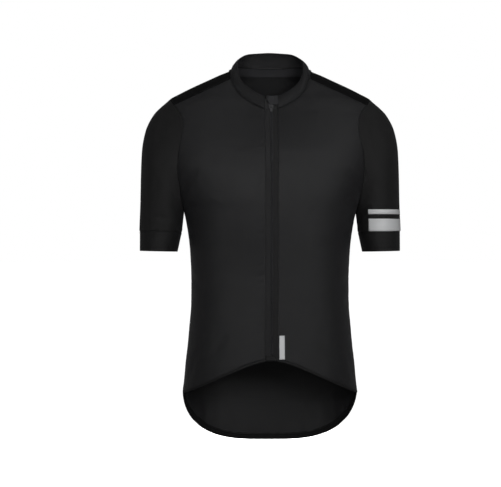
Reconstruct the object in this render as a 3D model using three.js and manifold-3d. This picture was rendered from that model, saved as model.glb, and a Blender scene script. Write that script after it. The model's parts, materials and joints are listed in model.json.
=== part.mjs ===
// Short-sleeved cycling jersey with a full-length front zip, filled out as if worn.
// Millimetres, +Z up. The front faces -Y and +X is the wearer's left.
// The origin is in the middle of the neck, level with the shoulder-neck points.
import * as THREE from "three";
import { mergeVertices } from "three/addons/utils/BufferGeometryUtils.js";
import Module from "manifold-3d";

// Walls and seams
const CLOTH = 1.2;
const COLLAR_CLOTH = 2;
const COLLAR_BULGE = 1.2;
const TAPE = 0.9;
const TAPE_SUNK = 0.3;
const FILM = 0.4;
const BAND_PROUD = 0.4;
const SEAM = 0.3;
const LIFT_OVER_FACETS = 0.8;

// Neck, collar and hem
const NECK_FRONT = -76;
const NECK_RISE = 78;
const NECK_BACK_RISE = 10;
const NECK_SWEEP = THREE.MathUtils.degToRad(26.8);
const NECK_SWEEP_POWER = 1.35;
const NECK_REAR_TURN = 1.25;
const NECK_REAR_SWEEP = 0.95;
const HEM_FRONT = -543;
const HEM_SIDE = -608;
const HEM_BACK = -710;
const HEM_PEAK_ROUNDING = 0.25;
const TAIL_SQUARENESS = 3.2;
const FRONT_BINDING = 4;
const TAIL_BAND = 10.5;

// Armhole, an ellipse seen from the side, and the ends of the shoulder yoke
const ARMHOLE_TOP = -53;
const ARMHOLE_FOOT = -266;
const ARMHOLE_MIDDLE = (ARMHOLE_TOP + ARMHOLE_FOOT) / 2;
const ARMHOLE_HALF_HEIGHT = (ARMHOLE_TOP - ARMHOLE_FOOT) / 2;
const ARMHOLE_HALF_DEPTH = 68;
const YOKE_END = -66;
const YOKE_NECK_TURN_FRONT = THREE.MathUtils.degToRad(36.6);
const YOKE_NECK_TURN_BACK = THREE.MathUtils.degToRad(138);

// Reflective hoops over the outer side of the left sleeve, and how far round they reach
const HOOP_REACH = THREE.MathUtils.degToRad(135);
const HOOPS = [
  { name: "hoop_narrow", top: -262, foot: -271 },
  { name: "hoop_wide", top: -279.5, foot: -303 },
];

// Upright reflective strip beside the foot of the zip
const STRIP = { left: 14, right: 24, foot: -540, top: -496 };

// Zip
const ZIP_HALF_WIDTH = 12;
const COIL_HALF_WIDTH = 2.3;
const COIL_PROUD = 0.8;
const COLLAR_SHARES_OF_ZIP = [0.08, 0.45, 0.86];
const ZIP_STOP_TOP = -530;
const ZIP_STOP_XS = [-11, -5, 0, 7];
const ZIP_STOP_MARGIN = 0.6;
const ZIP_STOP_PROUD = 1.7;
const ZIP_STOP_CLOTH = 1.1;
const PIVOT_HEIGHT = -72;
const PIVOT_OUT = 4;
const SLIDER_FOOT = -78;
const SLIDER_LOW = -4;
const SLIDER_HIGH = 9;
const SLIDER_BACK = 0.2;
const SLIDER_FACE = 2.8;
const SLIDER = { halfLow: 3.6, halfHigh: 4.8, corner: 1.2 };
const BRIDGE = { low: -2.4, high: 3.4, bar: 1.1, corner: 0.7, clear: 1.1, width: 2 };
const PULL_LENGTH = 11.5;
const PULL_BAR = 1.2;
const PULL = { halfLow: 2.1, halfHigh: 2.5, corner: 0.6, window: 1.6, windowFoot: -4.3 };

// Rear pockets
const POCKET_DIVIDER = 72;
const POCKET_OUTER = 143;
const POCKET_MOUTH = -470;
const POCKET_MOUTH_DROP = 16;
const POCKET_MOUTH_SWEEP = 60;
const POCKET_FOOT = -632;
const POCKET_FOOT_RISE = 10;
const POCKET_GAPE = 1.6;
const POCKET_GAP = 2;

// Number of cells along each edge of the panels
const CELLS = {
  side: 11,
  armhole: 10,
  neck: 5,
  yoke: 7,
  yokeEnd: 5,
  backNeck: 9,
  sleeve: 10,
  cuff: 2,
  hoop: 2,
  collar: 4,
  pocketHeight: 7,
  pocketSide: 6,
  pocketMiddle: 10,
  strip: 3,
};

// Horizontal sections of the body: half width, and depth to the front and to the back. Each is a
// superellipse, a little squarer than an ellipse.
const SQUARENESS = 2.3;
const BODY = [
  { height: -720, half: 166, front: 112, back: 117 },
  { height: -660, half: 166, front: 112, back: 117 },
  { height: -608, half: 165.5, front: 112, back: 116 },
  { height: -585, half: 163, front: 111, back: 115 },
  { height: -551, half: 160, front: 109, back: 112 },
  { height: -517, half: 156, front: 106.5, back: 108 },
  { height: -483, half: 153, front: 104, back: 103 },
  { height: -440, half: 149.5, front: 102.5, back: 98 },
  { height: -395, half: 149, front: 103, back: 97 },
  { height: -346, half: 151, front: 107, back: 100 },
  { height: -300, half: 156, front: 112.5, back: 106 },
  { height: -266, half: 163, front: 115.5, back: 110 },
  { height: -240, half: 176, front: 117, back: 113 },
  { height: -200, half: 196, front: 115.5, back: 116 },
  { height: -160, half: 209, front: 107, back: 116 },
  { height: -130, half: 213, front: 95, back: 112.5 },
  { height: -100, half: 212, front: 80.5, back: 106.5 },
  { height: -76, half: 207, front: 68, back: 100 },
  { height: -64, half: 200, front: 62.5, back: 96 },
  { height: -53, half: 190, front: 57, back: 92 },
  { height: -42, half: 170, front: 51, back: 87 },
  { height: -30, half: 146, front: 46, back: 81 },
  { height: -19, half: 122, front: 42, back: 76 },
  { height: -8, half: 98, front: 38, back: 71 },
  { height: 2, half: 75.5, front: 33, back: 66 },
  { height: 14, half: 64.5, front: 27, back: 58 },
];

// Rings of the left sleeve from the armhole to the cuff, each from its outer to its inner point
const SLEEVE = [
  { step: 0, outX: 190, outZ: -53, inX: 163, inZ: -266, depth: 68 },
  { step: 1, outX: 221, outZ: -83, inX: 164, inZ: -274, depth: 67.5 },
  { step: 2, outX: 236.5, outZ: -115, inX: 165, inZ: -281, depth: 66 },
  { step: 3, outX: 243, outZ: -152, inX: 165.6, inZ: -287, depth: 63.5 },
  { step: 4, outX: 245, outZ: -200, inX: 166.2, inZ: -293.5, depth: 60.5 },
  { step: 5, outX: 246, outZ: -250, inX: 166.6, inZ: -299, depth: 57.5 },
  { step: 6, outX: 248, outZ: -302, inX: 167.4, inZ: -304.5, depth: 54.5 },
];
const CUFF = [
  { step: 0, outX: 246.6, outZ: -302.4, inX: 167.6, inZ: -304.9, depth: 54 },
  { step: 1, outX: 246.8, outZ: -340, inX: 175.5, inZ: -341.5, depth: 51.5 },
];

// Collar: how far its rim rises above and leans in from the neck seam, round from the front
const COLLAR = [
  { turn: 0, rise: 23, lean: 9 },
  { turn: 40, rise: 21, lean: 10.5 },
  { turn: 90, rise: 17, lean: 10.5 },
  { turn: 115, rise: 18, lean: 4 },
  { turn: 140, rise: 26, lean: 0.5 },
  { turn: 180, rise: 30, lean: 4 },
];

const lerp = (from, to, share) => from + (to - from) * share;
const signedPower = (value, power) => Math.sign(value) * Math.abs(value) ** power;
const fromFront = (turn) => Math.acos(Math.cos(turn));
const smoothShare = (value) => THREE.MathUtils.smoothstep(value, 0, 1);
const count = (length) => Array.from({ length }, (_, index) => index);
const spread = (cells) => count(cells + 1).map((index) => index / cells);

// Monotone cubic curve through one column of a table, which never overshoots its rows.
function columnCurve(rows, key, value) {
  const at = rows.map((row) => row[key]);
  const to = rows.map((row) => row[value]);
  const slopes = at.slice(1).map((x, i) => (to[i + 1] - to[i]) / (x - at[i]));
  const tangents = at.map((_, i) => {
    if (i === 0) return slopes[0];
    if (i === at.length - 1) return slopes[i - 1];
    const [before, after] = [slopes[i - 1], slopes[i]];
    return before * after <= 0 ? 0 : (2 * before * after) / (before + after);
  });
  return (x) => {
    let i = 0;
    while (i < at.length - 2 && x > at[i + 1]) i += 1;
    const width = at[i + 1] - at[i];
    const s = THREE.MathUtils.clamp((x - at[i]) / width, 0, 1);
    const rise = (3 - 2 * s) * s * s;
    const leave = s * (1 - s) * (1 - s) * width;
    const arrive = s * s * (s - 1) * width;
    return lerp(to[i], to[i + 1], rise) + tangents[i] * leave + tangents[i + 1] * arrive;
  };
}

const half = columnCurve(BODY, "height", "half");
const front = columnCurve(BODY, "height", "front");
const back = columnCurve(BODY, "height", "back");

// A place on the body is [turn, height]: turn is 0 at the front centre, a quarter turn at the
// wearer's left side and a half turn at the back centre.
function bodyPoint([turn, height]) {
  const depth = Math.cos(turn) > 0 ? front(height) : back(height);
  const x = half(height) * signedPower(Math.sin(turn), 2 / SQUARENESS);
  const y = -depth * signedPower(Math.cos(turn), 2 / SQUARENESS);
  return new THREE.Vector3(x, y, height);
}

// How far out a point is, as 1 on the body's surface.
function reach(x, y, height) {
  const depth = y < 0 ? front(height) : back(height);
  return Math.abs(x / half(height)) ** SQUARENESS + Math.abs(y / depth) ** SQUARENESS;
}

function bodyNormal(place) {
  const { x, y, z } = bodyPoint(place);
  const small = 0.4;
  return new THREE.Vector3(
    reach(x + small, y, z) - reach(x - small, y, z),
    reach(x, y + small, z) - reach(x, y - small, z),
    reach(x, y, z + small) - reach(x, y, z - small),
  ).normalize();
}

// The turn where a front or back part of the section at this height has this x.
function turnAt(x, height, facing) {
  const turn = Math.asin(Math.min(1, Math.abs(x) / half(height)) ** (SQUARENESS / 2));
  const quarterOn = facing === "front" ? turn : Math.PI - turn;
  return x < 0 ? 2 * Math.PI - quarterOn : quarterOn;
}

// Neck seam: height round the neck, low at the front centre and highest at the back.
function neckPlace(turn) {
  const round = fromFront(turn);
  const sweep = 1 - Math.exp(-((round / NECK_SWEEP) ** NECK_SWEEP_POWER));
  const rear = smoothShare((round - NECK_REAR_TURN) / NECK_REAR_SWEEP);
  return [turn, NECK_FRONT + NECK_RISE * sweep + NECK_BACK_RISE * rear];
}

// Hem: a shallow inverted V in front, and a long rounded tail behind.
function hemPlace(turn) {
  const across = Math.abs(Math.sin(turn)) ** (2 / SQUARENESS);
  if (Math.cos(turn) > 0) {
    const rounding = HEM_PEAK_ROUNDING;
    const fall = Math.hypot(across, rounding) - rounding;
    const share = fall / (Math.hypot(1, rounding) - rounding);
    return [turn, lerp(HEM_FRONT, HEM_SIDE, share)];
  }
  const share = Math.sqrt(Math.max(0, 1 - across ** TAIL_SQUARENESS));
  return [turn, lerp(HEM_SIDE, HEM_BACK, share)];
}

// Armhole of the left side: the angle is 0 at the shoulder tip and positive towards the front.
function armholePlace(angle) {
  const height = ARMHOLE_MIDDLE + ARMHOLE_HALF_HEIGHT * Math.cos(angle);
  const y = -ARMHOLE_HALF_DEPTH * Math.sin(angle);
  const depth = y < 0 ? front(height) : back(height);
  const outward = Math.sqrt(Math.max(0, 1 - Math.abs(y / depth) ** SQUARENESS));
  return [Math.atan2(outward, signedPower(-y / depth, SQUARENESS / 2)), height];
}

const YOKE_ANGLE = Math.acos((YOKE_END - ARMHOLE_MIDDLE) / ARMHOLE_HALF_HEIGHT);

// Evenly spaced places along a curve, whose parameter runs from start to end.
function evenly(curve, start, end, cells) {
  const fine = 400;
  const parameters = spread(fine).map((share) => lerp(start, end, share));
  const points = parameters.map((parameter) => bodyPoint(curve(parameter)));
  const lengths = [0];
  for (let i = 1; i <= fine; i += 1) {
    lengths.push(lengths[i - 1] + points[i].distanceTo(points[i - 1]));
  }
  return spread(cells).map((share) => {
    const target = share * lengths[fine];
    let i = 1;
    while (i < fine && lengths[i] < target) i += 1;
    const within = (target - lengths[i - 1]) / (lengths[i] - lengths[i - 1]);
    return curve(lerp(parameters[i - 1], parameters[i], within));
  });
}

// A seam that is straight in the front or back view, between two places.
function straightSeam(from, to, cells, facing) {
  const [a, b] = [bodyPoint(from), bodyPoint(to)];
  const middle = spread(cells).map((share) => {
    const height = lerp(a.z, b.z, share);
    return [turnAt(lerp(a.x, b.x, share), height, facing), height];
  });
  middle[0] = from;
  middle[cells] = to;
  return middle;
}

// The turn whose section point lies in the direction of x and y at this height.
function turnTowards(x, y, height) {
  const depth = y < 0 ? front(height) : back(height);
  const bend = SQUARENESS / 2;
  const turn = Math.atan2(signedPower(x / half(height), bend), signedPower(-y / depth, bend));
  return turn < 0 ? turn + 2 * Math.PI : turn;
}

// Places filled in between four edges. Rows run from bottom to top, columns from left to right.
function fillPatch(bottom, top, left, right) {
  const [low, high, start, end] = [bottom, top, left, right].map((edge) => edge.map(bodyPoint));
  const lastRow = left.length - 1;
  const lastColumn = bottom.length - 1;
  return left.map((_, r) =>
    bottom.map((_, c) => {
      if (r === 0) return bottom[c];
      if (r === lastRow) return top[c];
      if (c === 0) return left[r];
      if (c === lastColumn) return right[r];
      const v = r / lastRow;
      const w = c / lastColumn;
      const sides = start[r].clone().lerp(end[r], w);
      const ends = low[c].clone().lerp(high[c], v);
      const corners = low[0].clone().lerp(low[lastColumn], w);
      corners.lerp(high[0].clone().lerp(high[lastColumn], w), v);
      const { x, y, z } = sides.add(ends).sub(corners);
      return [turnTowards(x, y, z), z];
    }),
  );
}

// Points and normals of a patch of the body, with its four edges drawn in by half a seam.
function onBody(patch, inset = SEAM / 2) {
  const points = patch.map((row) => row.map(bodyPoint));
  const normals = patch.map((row) => row.map(bodyNormal));
  return drawIn({ points, normals }, inset);
}

function drawIn({ points, normals }, inset, closed = false) {
  const rows = points.length;
  const columns = points[0].length;
  const moved = points.map((row) => row.map((point) => point.clone()));
  const pull = (r, c, alongR, alongC, inR, inC) => {
    const at = (dr, dc) => {
      const row = THREE.MathUtils.clamp(r + dr, 0, rows - 1);
      if (closed) return points[row][(c + dc + columns) % columns];
      return points[row][THREE.MathUtils.clamp(c + dc, 0, columns - 1)];
    };
    const along = at(alongR, alongC).clone().sub(at(-alongR, -alongC));
    const inward = along.cross(normals[r][c]).normalize();
    const towards = at(inR, inC).clone().sub(points[r][c]);
    moved[r][c].addScaledVector(inward, inset * Math.sign(inward.dot(towards)));
  };
  for (let c = 0; c < columns; c += 1) {
    pull(0, c, 0, 1, 1, 0);
    pull(rows - 1, c, 0, 1, -1, 0);
  }
  if (!closed) {
    for (let r = 0; r < rows; r += 1) {
      pull(r, 0, 1, 0, 0, 1);
      pull(r, columns - 1, 1, 0, 0, -1);
    }
  }
  return { points: moved, normals };
}

// Pairs of inside and outside points of a wall. Its outside lies above the surface by the
// proud amount, a number or a function of row and column, and the wall is thick inwards.
function pairs({ points, normals }, proud, thickness) {
  return points.map((row, r) =>
    row.map((point, c) => {
      const high = typeof proud === "function" ? proud(r, c) : proud;
      return {
        inside: point.clone().addScaledVector(normals[r][c], high - thickness),
        outside: point.clone().addScaledVector(normals[r][c], high),
      };
    }),
  );
}

const mirrorPairs = (grid) =>
  grid.map((row) =>
    row.map(({ inside, outside }) => ({
      inside: inside.clone().setX(-inside.x),
      outside: outside.clone().setX(-outside.x),
    })),
  );

// A closed wall from a grid of pairs. A closed grid joins its last column to its first.
function wallGeometry(grid, closed = false) {
  const rows = grid.length;
  const columns = grid[0].length;
  const vertices = grid.flat().flatMap(({ inside, outside }) => [inside, outside]);
  const id = (r, c, layer) => 2 * (r * columns + (c % columns)) + layer;
  const faces = [];
  const quad = (a, b, c, d) => faces.push([a, b, c], [a, c, d]);
  const lastColumn = closed ? columns : columns - 1;
  for (let c = 0; c < lastColumn; c += 1) {
    for (let r = 0; r < rows - 1; r += 1) {
      quad(id(r, c, 1), id(r, c + 1, 1), id(r + 1, c + 1, 1), id(r + 1, c, 1));
      quad(id(r + 1, c, 0), id(r + 1, c + 1, 0), id(r, c + 1, 0), id(r, c, 0));
    }
    quad(id(0, c, 0), id(0, c + 1, 0), id(0, c + 1, 1), id(0, c, 1));
    quad(id(rows - 1, c, 1), id(rows - 1, c + 1, 1), id(rows - 1, c + 1, 0), id(rows - 1, c, 0));
  }
  if (!closed) {
    for (let r = 0; r < rows - 1; r += 1) {
      quad(id(r, 0, 1), id(r + 1, 0, 1), id(r + 1, 0, 0), id(r, 0, 0));
      quad(id(r, lastColumn, 0), id(r + 1, lastColumn, 0), id(r + 1, lastColumn, 1), id(r, lastColumn, 1));
    }
  }
  return facingOut(vertices, faces);
}

// Geometry of a closed body, turned so that its faces point out.
function facingOut(vertices, faces) {
  const volume = faces.reduce((sum, [a, b, c]) => {
    const normal = vertices[b].clone().cross(vertices[c]);
    return sum + vertices[a].dot(normal);
  }, 0);
  const order = volume > 0 ? faces : faces.map(([a, b, c]) => [a, c, b]);
  const geometry = new THREE.BufferGeometry();
  const numbers = vertices.flatMap((vertex) => vertex.toArray());
  geometry.setAttribute("position", new THREE.Float32BufferAttribute(numbers, 3));
  geometry.setIndex(order.flat());
  geometry.computeVertexNormals();
  return geometry;
}

const jersey = new THREE.Group();
const MATERIALS = {
  knit: { color: 0x1f1f21, roughness: 0.78, metalness: 0 },
  sleeveKnit: { color: 0x1a1a1b, roughness: 0.82, metalness: 0 },
  yokeKnit: { color: 0x101011, roughness: 0.9, metalness: 0 },
  collarKnit: { color: 0x242427, roughness: 0.75, metalness: 0 },
  band: { color: 0x19191b, roughness: 0.7, metalness: 0 },
  zipTape: { color: 0x232325, roughness: 0.6, metalness: 0 },
  blackMetal: { color: 0x303033, roughness: 0.35, metalness: 0.9 },
  reflective: { color: 0xf2f2f2, roughness: 0.4, metalness: 0 },
};

function addPiece(name, geometry, look, parent = jersey) {
  const mesh = new THREE.Mesh(geometry, new THREE.MeshStandardMaterial(MATERIALS[look]));
  mesh.name = name;
  parent.add(mesh);
  return mesh;
}

function addPair(name, grid, look, closed = false) {
  addPiece(`${name}_left`, wallGeometry(grid, closed), look);
  addPiece(`${name}_right`, wallGeometry(mirrorPairs(grid), closed), look);
}

// Edges that the panels share
const zipNeckTurn = turnAt(ZIP_HALF_WIDTH, NECK_FRONT, "front");
const zipHemTurn = turnAt(ZIP_HALF_WIDTH, HEM_FRONT, "front");
const frontNeck = evenly(neckPlace, zipNeckTurn, YOKE_NECK_TURN_FRONT, CELLS.neck);
const yokeNeck = evenly(neckPlace, YOKE_NECK_TURN_FRONT, YOKE_NECK_TURN_BACK, CELLS.yokeEnd);
const backNeck = evenly(neckPlace, YOKE_NECK_TURN_BACK, 2 * Math.PI - YOKE_NECK_TURN_BACK, CELLS.backNeck);
const frontArmhole = evenly(armholePlace, Math.PI, YOKE_ANGLE, CELLS.armhole);
const yokeArmhole = evenly(armholePlace, YOKE_ANGLE, -YOKE_ANGLE, CELLS.yokeEnd);
const backArmhole = evenly(armholePlace, -Math.PI, -YOKE_ANGLE, CELLS.armhole);
const frontYokeSeam = straightSeam(frontNeck.at(-1), frontArmhole.at(-1), CELLS.yoke, "front");
const backYokeSeam = straightSeam(backNeck[0], backArmhole.at(-1), CELLS.yoke, "back");

// A hem edge and the seam above it, a band's width further in along the surface.
function bandEdges(start, end, cells, width) {
  const edge = evenly(hemPlace, start, end, cells);
  const points = edge.map(bodyPoint);
  const seam = edge.map((place, i) => {
    const last = points.length - 1;
    const along = points[Math.min(i + 1, last)].clone().sub(points[Math.max(i - 1, 0)]).normalize();
    const up = bodyNormal(place).cross(along);
    if (up.z < 0) up.negate();
    const [turn, height] = place;
    if (i === 0 || i === last) return [turn, height + width / up.z];
    const small = 0.001;
    const across = bodyPoint([turn + small, height]).sub(points[i]).divideScalar(small);
    const rising = bodyPoint([turn, height + 1]).sub(points[i]);
    const sideways = up.clone().multiplyScalar(width).addScaledVector(rising, -width * up.z);
    return [turn + sideways.dot(across) / across.lengthSq(), height + width * up.z];
  });
  return { edge, seam };
}

const frontHem = bandEdges(zipHemTurn, Math.PI / 2, CELLS.neck + CELLS.yoke, FRONT_BINDING);
const backCells = 2 * CELLS.yoke + CELLS.backNeck;
const tailHem = bandEdges(Math.PI / 2, 1.5 * Math.PI, backCells, TAIL_BAND);
const armpit = frontArmhole[0];
const mirrorPlace = ([turn, height]) => [2 * Math.PI - turn, height];

function sideSeam(foot) {
  return spread(CELLS.side).map((share) => [Math.PI / 2, lerp(foot[1], armpit[1], share)]);
}

function frontPanels() {
  const rows = CELLS.side + CELLS.armhole;
  const bottom = frontHem.seam;
  const top = [...frontNeck, ...frontYokeSeam.slice(1)];
  const left = spread(rows).map((share) => {
    const height = lerp(bottom[0][1], top[0][1], share);
    return [turnAt(ZIP_HALF_WIDTH, height, "front"), height];
  });
  left[0] = bottom[0];
  left[rows] = top[0];
  const right = [...sideSeam(bottom.at(-1)), ...frontArmhole.slice(1)];
  addPair("front", pairs(onBody(fillPatch(bottom, top, left, right)), 0, CLOTH), "knit");
  const binding = pairs(onBody([frontHem.edge, frontHem.seam]), BAND_PROUD, CLOTH + BAND_PROUD);
  addPair("hem_front", binding, "band");
  return left;
}

function backPanel() {
  const bottom = tailHem.seam;
  const top = [
    ...[...backYokeSeam].reverse(),
    ...backNeck.slice(1),
    ...backYokeSeam.slice(1).map(mirrorPlace),
  ];
  const left = [...sideSeam(bottom[0]), ...backArmhole.slice(1)];
  const right = left.map(mirrorPlace);
  const grid = pairs(onBody(fillPatch(bottom, top, left, right)), 0, CLOTH);
  addPiece("back", wallGeometry(grid), "knit");
  const band = pairs(onBody([tailHem.edge, tailHem.seam]), BAND_PROUD, CLOTH + BAND_PROUD);
  addPiece("hem_back", wallGeometry(band), "band");
}

function yokes() {
  const patch = fillPatch(frontYokeSeam, backYokeSeam, yokeNeck, yokeArmhole);
  addPair("yoke", pairs(onBody(patch), 0, CLOTH), "yokeKnit");
}

// A ring of a sleeve or cuff table, as a point at an angle round it and a step along it.
function ringSurface(table) {
  const columns = ["outX", "outZ", "inX", "inZ", "depth"];
  const curves = columns.map((name) => columnCurve(table, "step", name));
  return (angle, step) => {
    const [outX, outZ, inX, inZ, depth] = curves.map((curve) => curve(step));
    const share = (1 - Math.cos(angle)) / 2;
    const y = -depth * Math.sin(angle);
    return new THREE.Vector3(lerp(outX, inX, share), y, lerp(outZ, inZ, share));
  };
}

function surfaceNormal(point, angle, step, last) {
  const small = 0.01;
  const round = point(angle + small, step).sub(point(angle - small, step));
  const low = Math.max(0, step - small);
  const high = Math.min(last, step + small);
  return round.cross(point(angle, high).sub(point(angle, low))).normalize();
}

// Angles round the sleeve, where it meets the corners of the panels at the armhole
const armholeLoop = [
  ...frontArmhole,
  ...yokeArmhole.slice(1),
  ...[...backArmhole].reverse().slice(1, -1),
];
const armholeAngles = armholeLoop.map((place) => {
  const { y } = bodyPoint(place);
  return Math.atan2(-y / ARMHOLE_HALF_DEPTH, (place[1] - ARMHOLE_MIDDLE) / ARMHOLE_HALF_HEIGHT);
});

const sleeveRing = ringSurface(SLEEVE);
const sleeveLast = SLEEVE.length - 1;

// The sleeve leaves the body's own armhole edge and settles into its rings further down.
const SETTLED_STEP = 3;
function sleevePoint(angle, step) {
  const settle = smoothShare(1 - step / SETTLED_STEP);
  const miss = bodyPoint(armholePlace(angle)).sub(sleeveRing(angle, 0));
  return sleeveRing(angle, step).addScaledVector(miss, settle);
}

function ringRows(point, angles, steps, last) {
  return {
    points: steps.map((step) => angles.map((angle) => point(angle, step))),
    normals: steps.map((step) => angles.map((angle) => surfaceNormal(point, angle, step, last))),
  };
}

function sleeves() {
  const steps = spread(CELLS.sleeve).map((share) => sleeveLast * share);
  const sleeve = drawIn(ringRows(sleevePoint, armholeAngles, steps, sleeveLast), SEAM / 2, true);
  addPair("sleeve", pairs(sleeve, 0, CLOTH), "sleeveKnit", true);
  const cuff = drawIn(ringRows(ringSurface(CUFF), armholeAngles, spread(CELLS.cuff), 1), SEAM / 2, true);
  addPair("cuff", pairs(cuff, 0, CLOTH + BAND_PROUD), "band", true);
}

// The step along the sleeve where it reaches a height, at an angle round it
function sleeveStepAt(angle, height) {
  let [above, below] = [0, sleeveLast];
  const halvings = 30;
  for (let i = 0; i < halvings; i += 1) {
    const middle = (above + below) / 2;
    if (sleevePoint(angle, middle).z > height) above = middle;
    else below = middle;
  }
  return above;
}

function sleeveHoops() {
  const angles = armholeAngles.filter((angle) => Math.abs(angle) < HOOP_REACH);
  for (const { name, top, foot } of HOOPS) {
    const heights = spread(CELLS.hoop).map((share) => lerp(foot, top, share));
    const steps = heights.map((height) => angles.map((angle) => sleeveStepAt(angle, height)));
    const points = steps.map((row) => row.map((step, c) => sleevePoint(angles[c], step)));
    const normals = steps.map((row) =>
      row.map((step, c) => surfaceNormal(sleevePoint, angles[c], step, sleeveLast)),
    );
    addPiece(name, wallGeometry(pairs({ points, normals }, SEAM + FILM, FILM)), "reflective");
  }
}

const rise = columnCurve(COLLAR, "turn", "rise");
const lean = columnCurve(COLLAR, "turn", "lean");

// A point of the collar: the share runs from 0 at the neck seam to 1 at the rim.
function collarPoint(turn, share) {
  const place = neckPlace(turn);
  const base = bodyPoint(place);
  const round = THREE.MathUtils.radToDeg(fromFront(turn));
  const small = 0.01;
  const along = bodyPoint(neckPlace(turn + small)).sub(bodyPoint(neckPlace(turn - small)));
  const outward = new THREE.Vector3(along.y, -along.x, 0).normalize();
  if (outward.dot(base) < 0) outward.negate();
  const bulge = COLLAR_BULGE * 4 * share * (1 - share);
  return base
    .add(new THREE.Vector3(0, 0, rise(round) * share))
    .addScaledVector(outward, bulge - lean(round) * share);
}

function collarNormal(turn, share) {
  const small = 0.01;
  const round = collarPoint(turn + small, share).sub(collarPoint(turn - small, share));
  const low = collarPoint(turn, Math.max(0, share - small));
  const up = collarPoint(turn, Math.min(1, share + small)).sub(low);
  return round.cross(up).normalize();
}

function collar() {
  const neck = [
    ...frontNeck,
    ...yokeNeck.slice(1),
    ...backNeck.slice(1),
    ...[...yokeNeck].reverse().slice(1).map(mirrorPlace),
    ...[...frontNeck].reverse().slice(1).map(mirrorPlace),
  ];
  const shares = spread(CELLS.collar);
  const points = shares.map((share) => neck.map(([turn]) => collarPoint(turn, share)));
  const normals = shares.map((share) => neck.map(([turn]) => collarNormal(turn, share)));
  const wall = pairs(drawIn({ points, normals }, SEAM / 2), 0, COLLAR_CLOTH);
  addPiece("collar", wallGeometry(wall), "collarKnit");
}

// A point and a normal of the front, x from the centre: on the body by height, or up the collar.
function frontSpot(x, { height, share }) {
  if (share === undefined) {
    const place = [turnAt(x, height, "front"), height];
    return { point: bodyPoint(place), normal: bodyNormal(place) };
  }
  const turn = turnAt(x, NECK_FRONT, "front");
  return { point: collarPoint(turn, share), normal: collarNormal(turn, share) };
}

function frontSurface(xs, levels) {
  const spots = levels.map((level) => xs.map((x) => frontSpot(x, level)));
  return {
    points: spots.map((row) => row.map(({ point }) => point)),
    normals: spots.map((row) => row.map(({ normal }) => normal)),
  };
}

// Zip tapes with half of the coil along each inner edge, between the slider and the bottom stop
function zipTapes(edge) {
  const levels = [
    ...edge.slice(0, -1).map(([, height]) => ({ height })),
    ...COLLAR_SHARES_OF_ZIP.map((share) => ({ share })),
  ];
  levels[0] = { height: HEM_FRONT };
  const coilStep = 0.5;
  const xs = [SEAM / 2, COIL_HALF_WIDTH, COIL_HALF_WIDTH + coilStep, ZIP_HALF_WIDTH - SEAM / 2];
  const coil = ({ height }) => height > ZIP_STOP_TOP && height < SLIDER_FOOT;
  const raised = (r, c) => (c < 2 && coil(levels[r]) ? COIL_PROUD : -TAPE_SUNK);
  const { points, normals } = frontSurface(xs, levels);
  const grid = points.map((row, r) =>
    row.map((point, c) => ({
      inside: point.clone().addScaledVector(normals[r][c], -TAPE_SUNK - TAPE),
      outside: point.clone().addScaledVector(normals[r][c], raised(r, c)),
    })),
  );
  addPair("zip_tape", grid, "zipTape");
}

// A folded tab over the foot of the zip, below where the coil starts
function zipStop() {
  const heights = [HEM_FRONT + ZIP_STOP_MARGIN, ZIP_STOP_TOP - 5 * ZIP_STOP_MARGIN];
  const surface = frontSurface(ZIP_STOP_XS, heights.map((height) => ({ height })));
  addPiece("zip_stop", wallGeometry(pairs(surface, ZIP_STOP_PROUD, ZIP_STOP_CLOTH)), "band");
}

// The garage, a folded tab sewn to the left end of the collar, that covers the top of the slider
const GARAGE = [
  { x: -8.8, proud: 2.4 },
  { x: -5.8, proud: 4.7 },
  { x: 0, proud: 5.1 },
  { x: 5.8, proud: 4.7 },
  { x: 9.8, proud: 3.3 },
  { x: 13.8, proud: 2.3 },
];
const GARAGE_SHARES = [0.37, 0.55, 0.8, 1.03];

function zipGarage() {
  const surface = frontSurface(GARAGE.map(({ x }) => x), GARAGE_SHARES.map((share) => ({ share })));
  const wall = pairs(surface, (r, c) => GARAGE[c].proud, CLOTH);
  addPiece("zip_garage", wallGeometry(wall), "collarKnit");
}

const wasm = await Module();
wasm.setup();

function solid(geometry) {
  const bare = geometry.clone().deleteAttribute("normal").deleteAttribute("uv");
  const merged = mergeVertices(bare);
  const triVerts = new Uint32Array(merged.index.array);
  const vertProperties = merged.attributes.position.array;
  return new wasm.Manifold(new wasm.Mesh({ numProp: 3, vertProperties, triVerts }));
}

function solidGeometry(manifold) {
  const { vertProperties, triVerts } = manifold.getMesh();
  const geometry = new THREE.BufferGeometry();
  geometry.setAttribute("position", new THREE.Float32BufferAttribute(vertProperties, 3));
  geometry.setIndex(Array.from(triVerts));
  geometry.computeVertexNormals();
  return geometry;
}

// A plate seen from the front, thick from one distance in front of the zip to another
function plate(shape, from, to) {
  const settings = { depth: to - from, bevelEnabled: false, curveSegments: 4 };
  return new THREE.ExtrudeGeometry(shape, settings).rotateX(Math.PI / 2).translate(0, -from, 0);
}

function roundedShape(halfLow, halfHigh, low, high, corner) {
  const shape = new THREE.Shape();
  shape.moveTo(-halfLow + corner, low);
  shape.lineTo(halfLow - corner, low);
  shape.quadraticCurveTo(halfLow, low, halfLow, low + corner);
  shape.lineTo(halfHigh, high - corner);
  shape.quadraticCurveTo(halfHigh, high, halfHigh - corner, high);
  shape.lineTo(-halfHigh + corner, high);
  shape.quadraticCurveTo(-halfHigh, high, -halfHigh, high - corner);
  shape.lineTo(-halfLow, low + corner);
  shape.quadraticCurveTo(-halfLow, low, -halfLow + corner, low);
  return shape;
}

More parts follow.
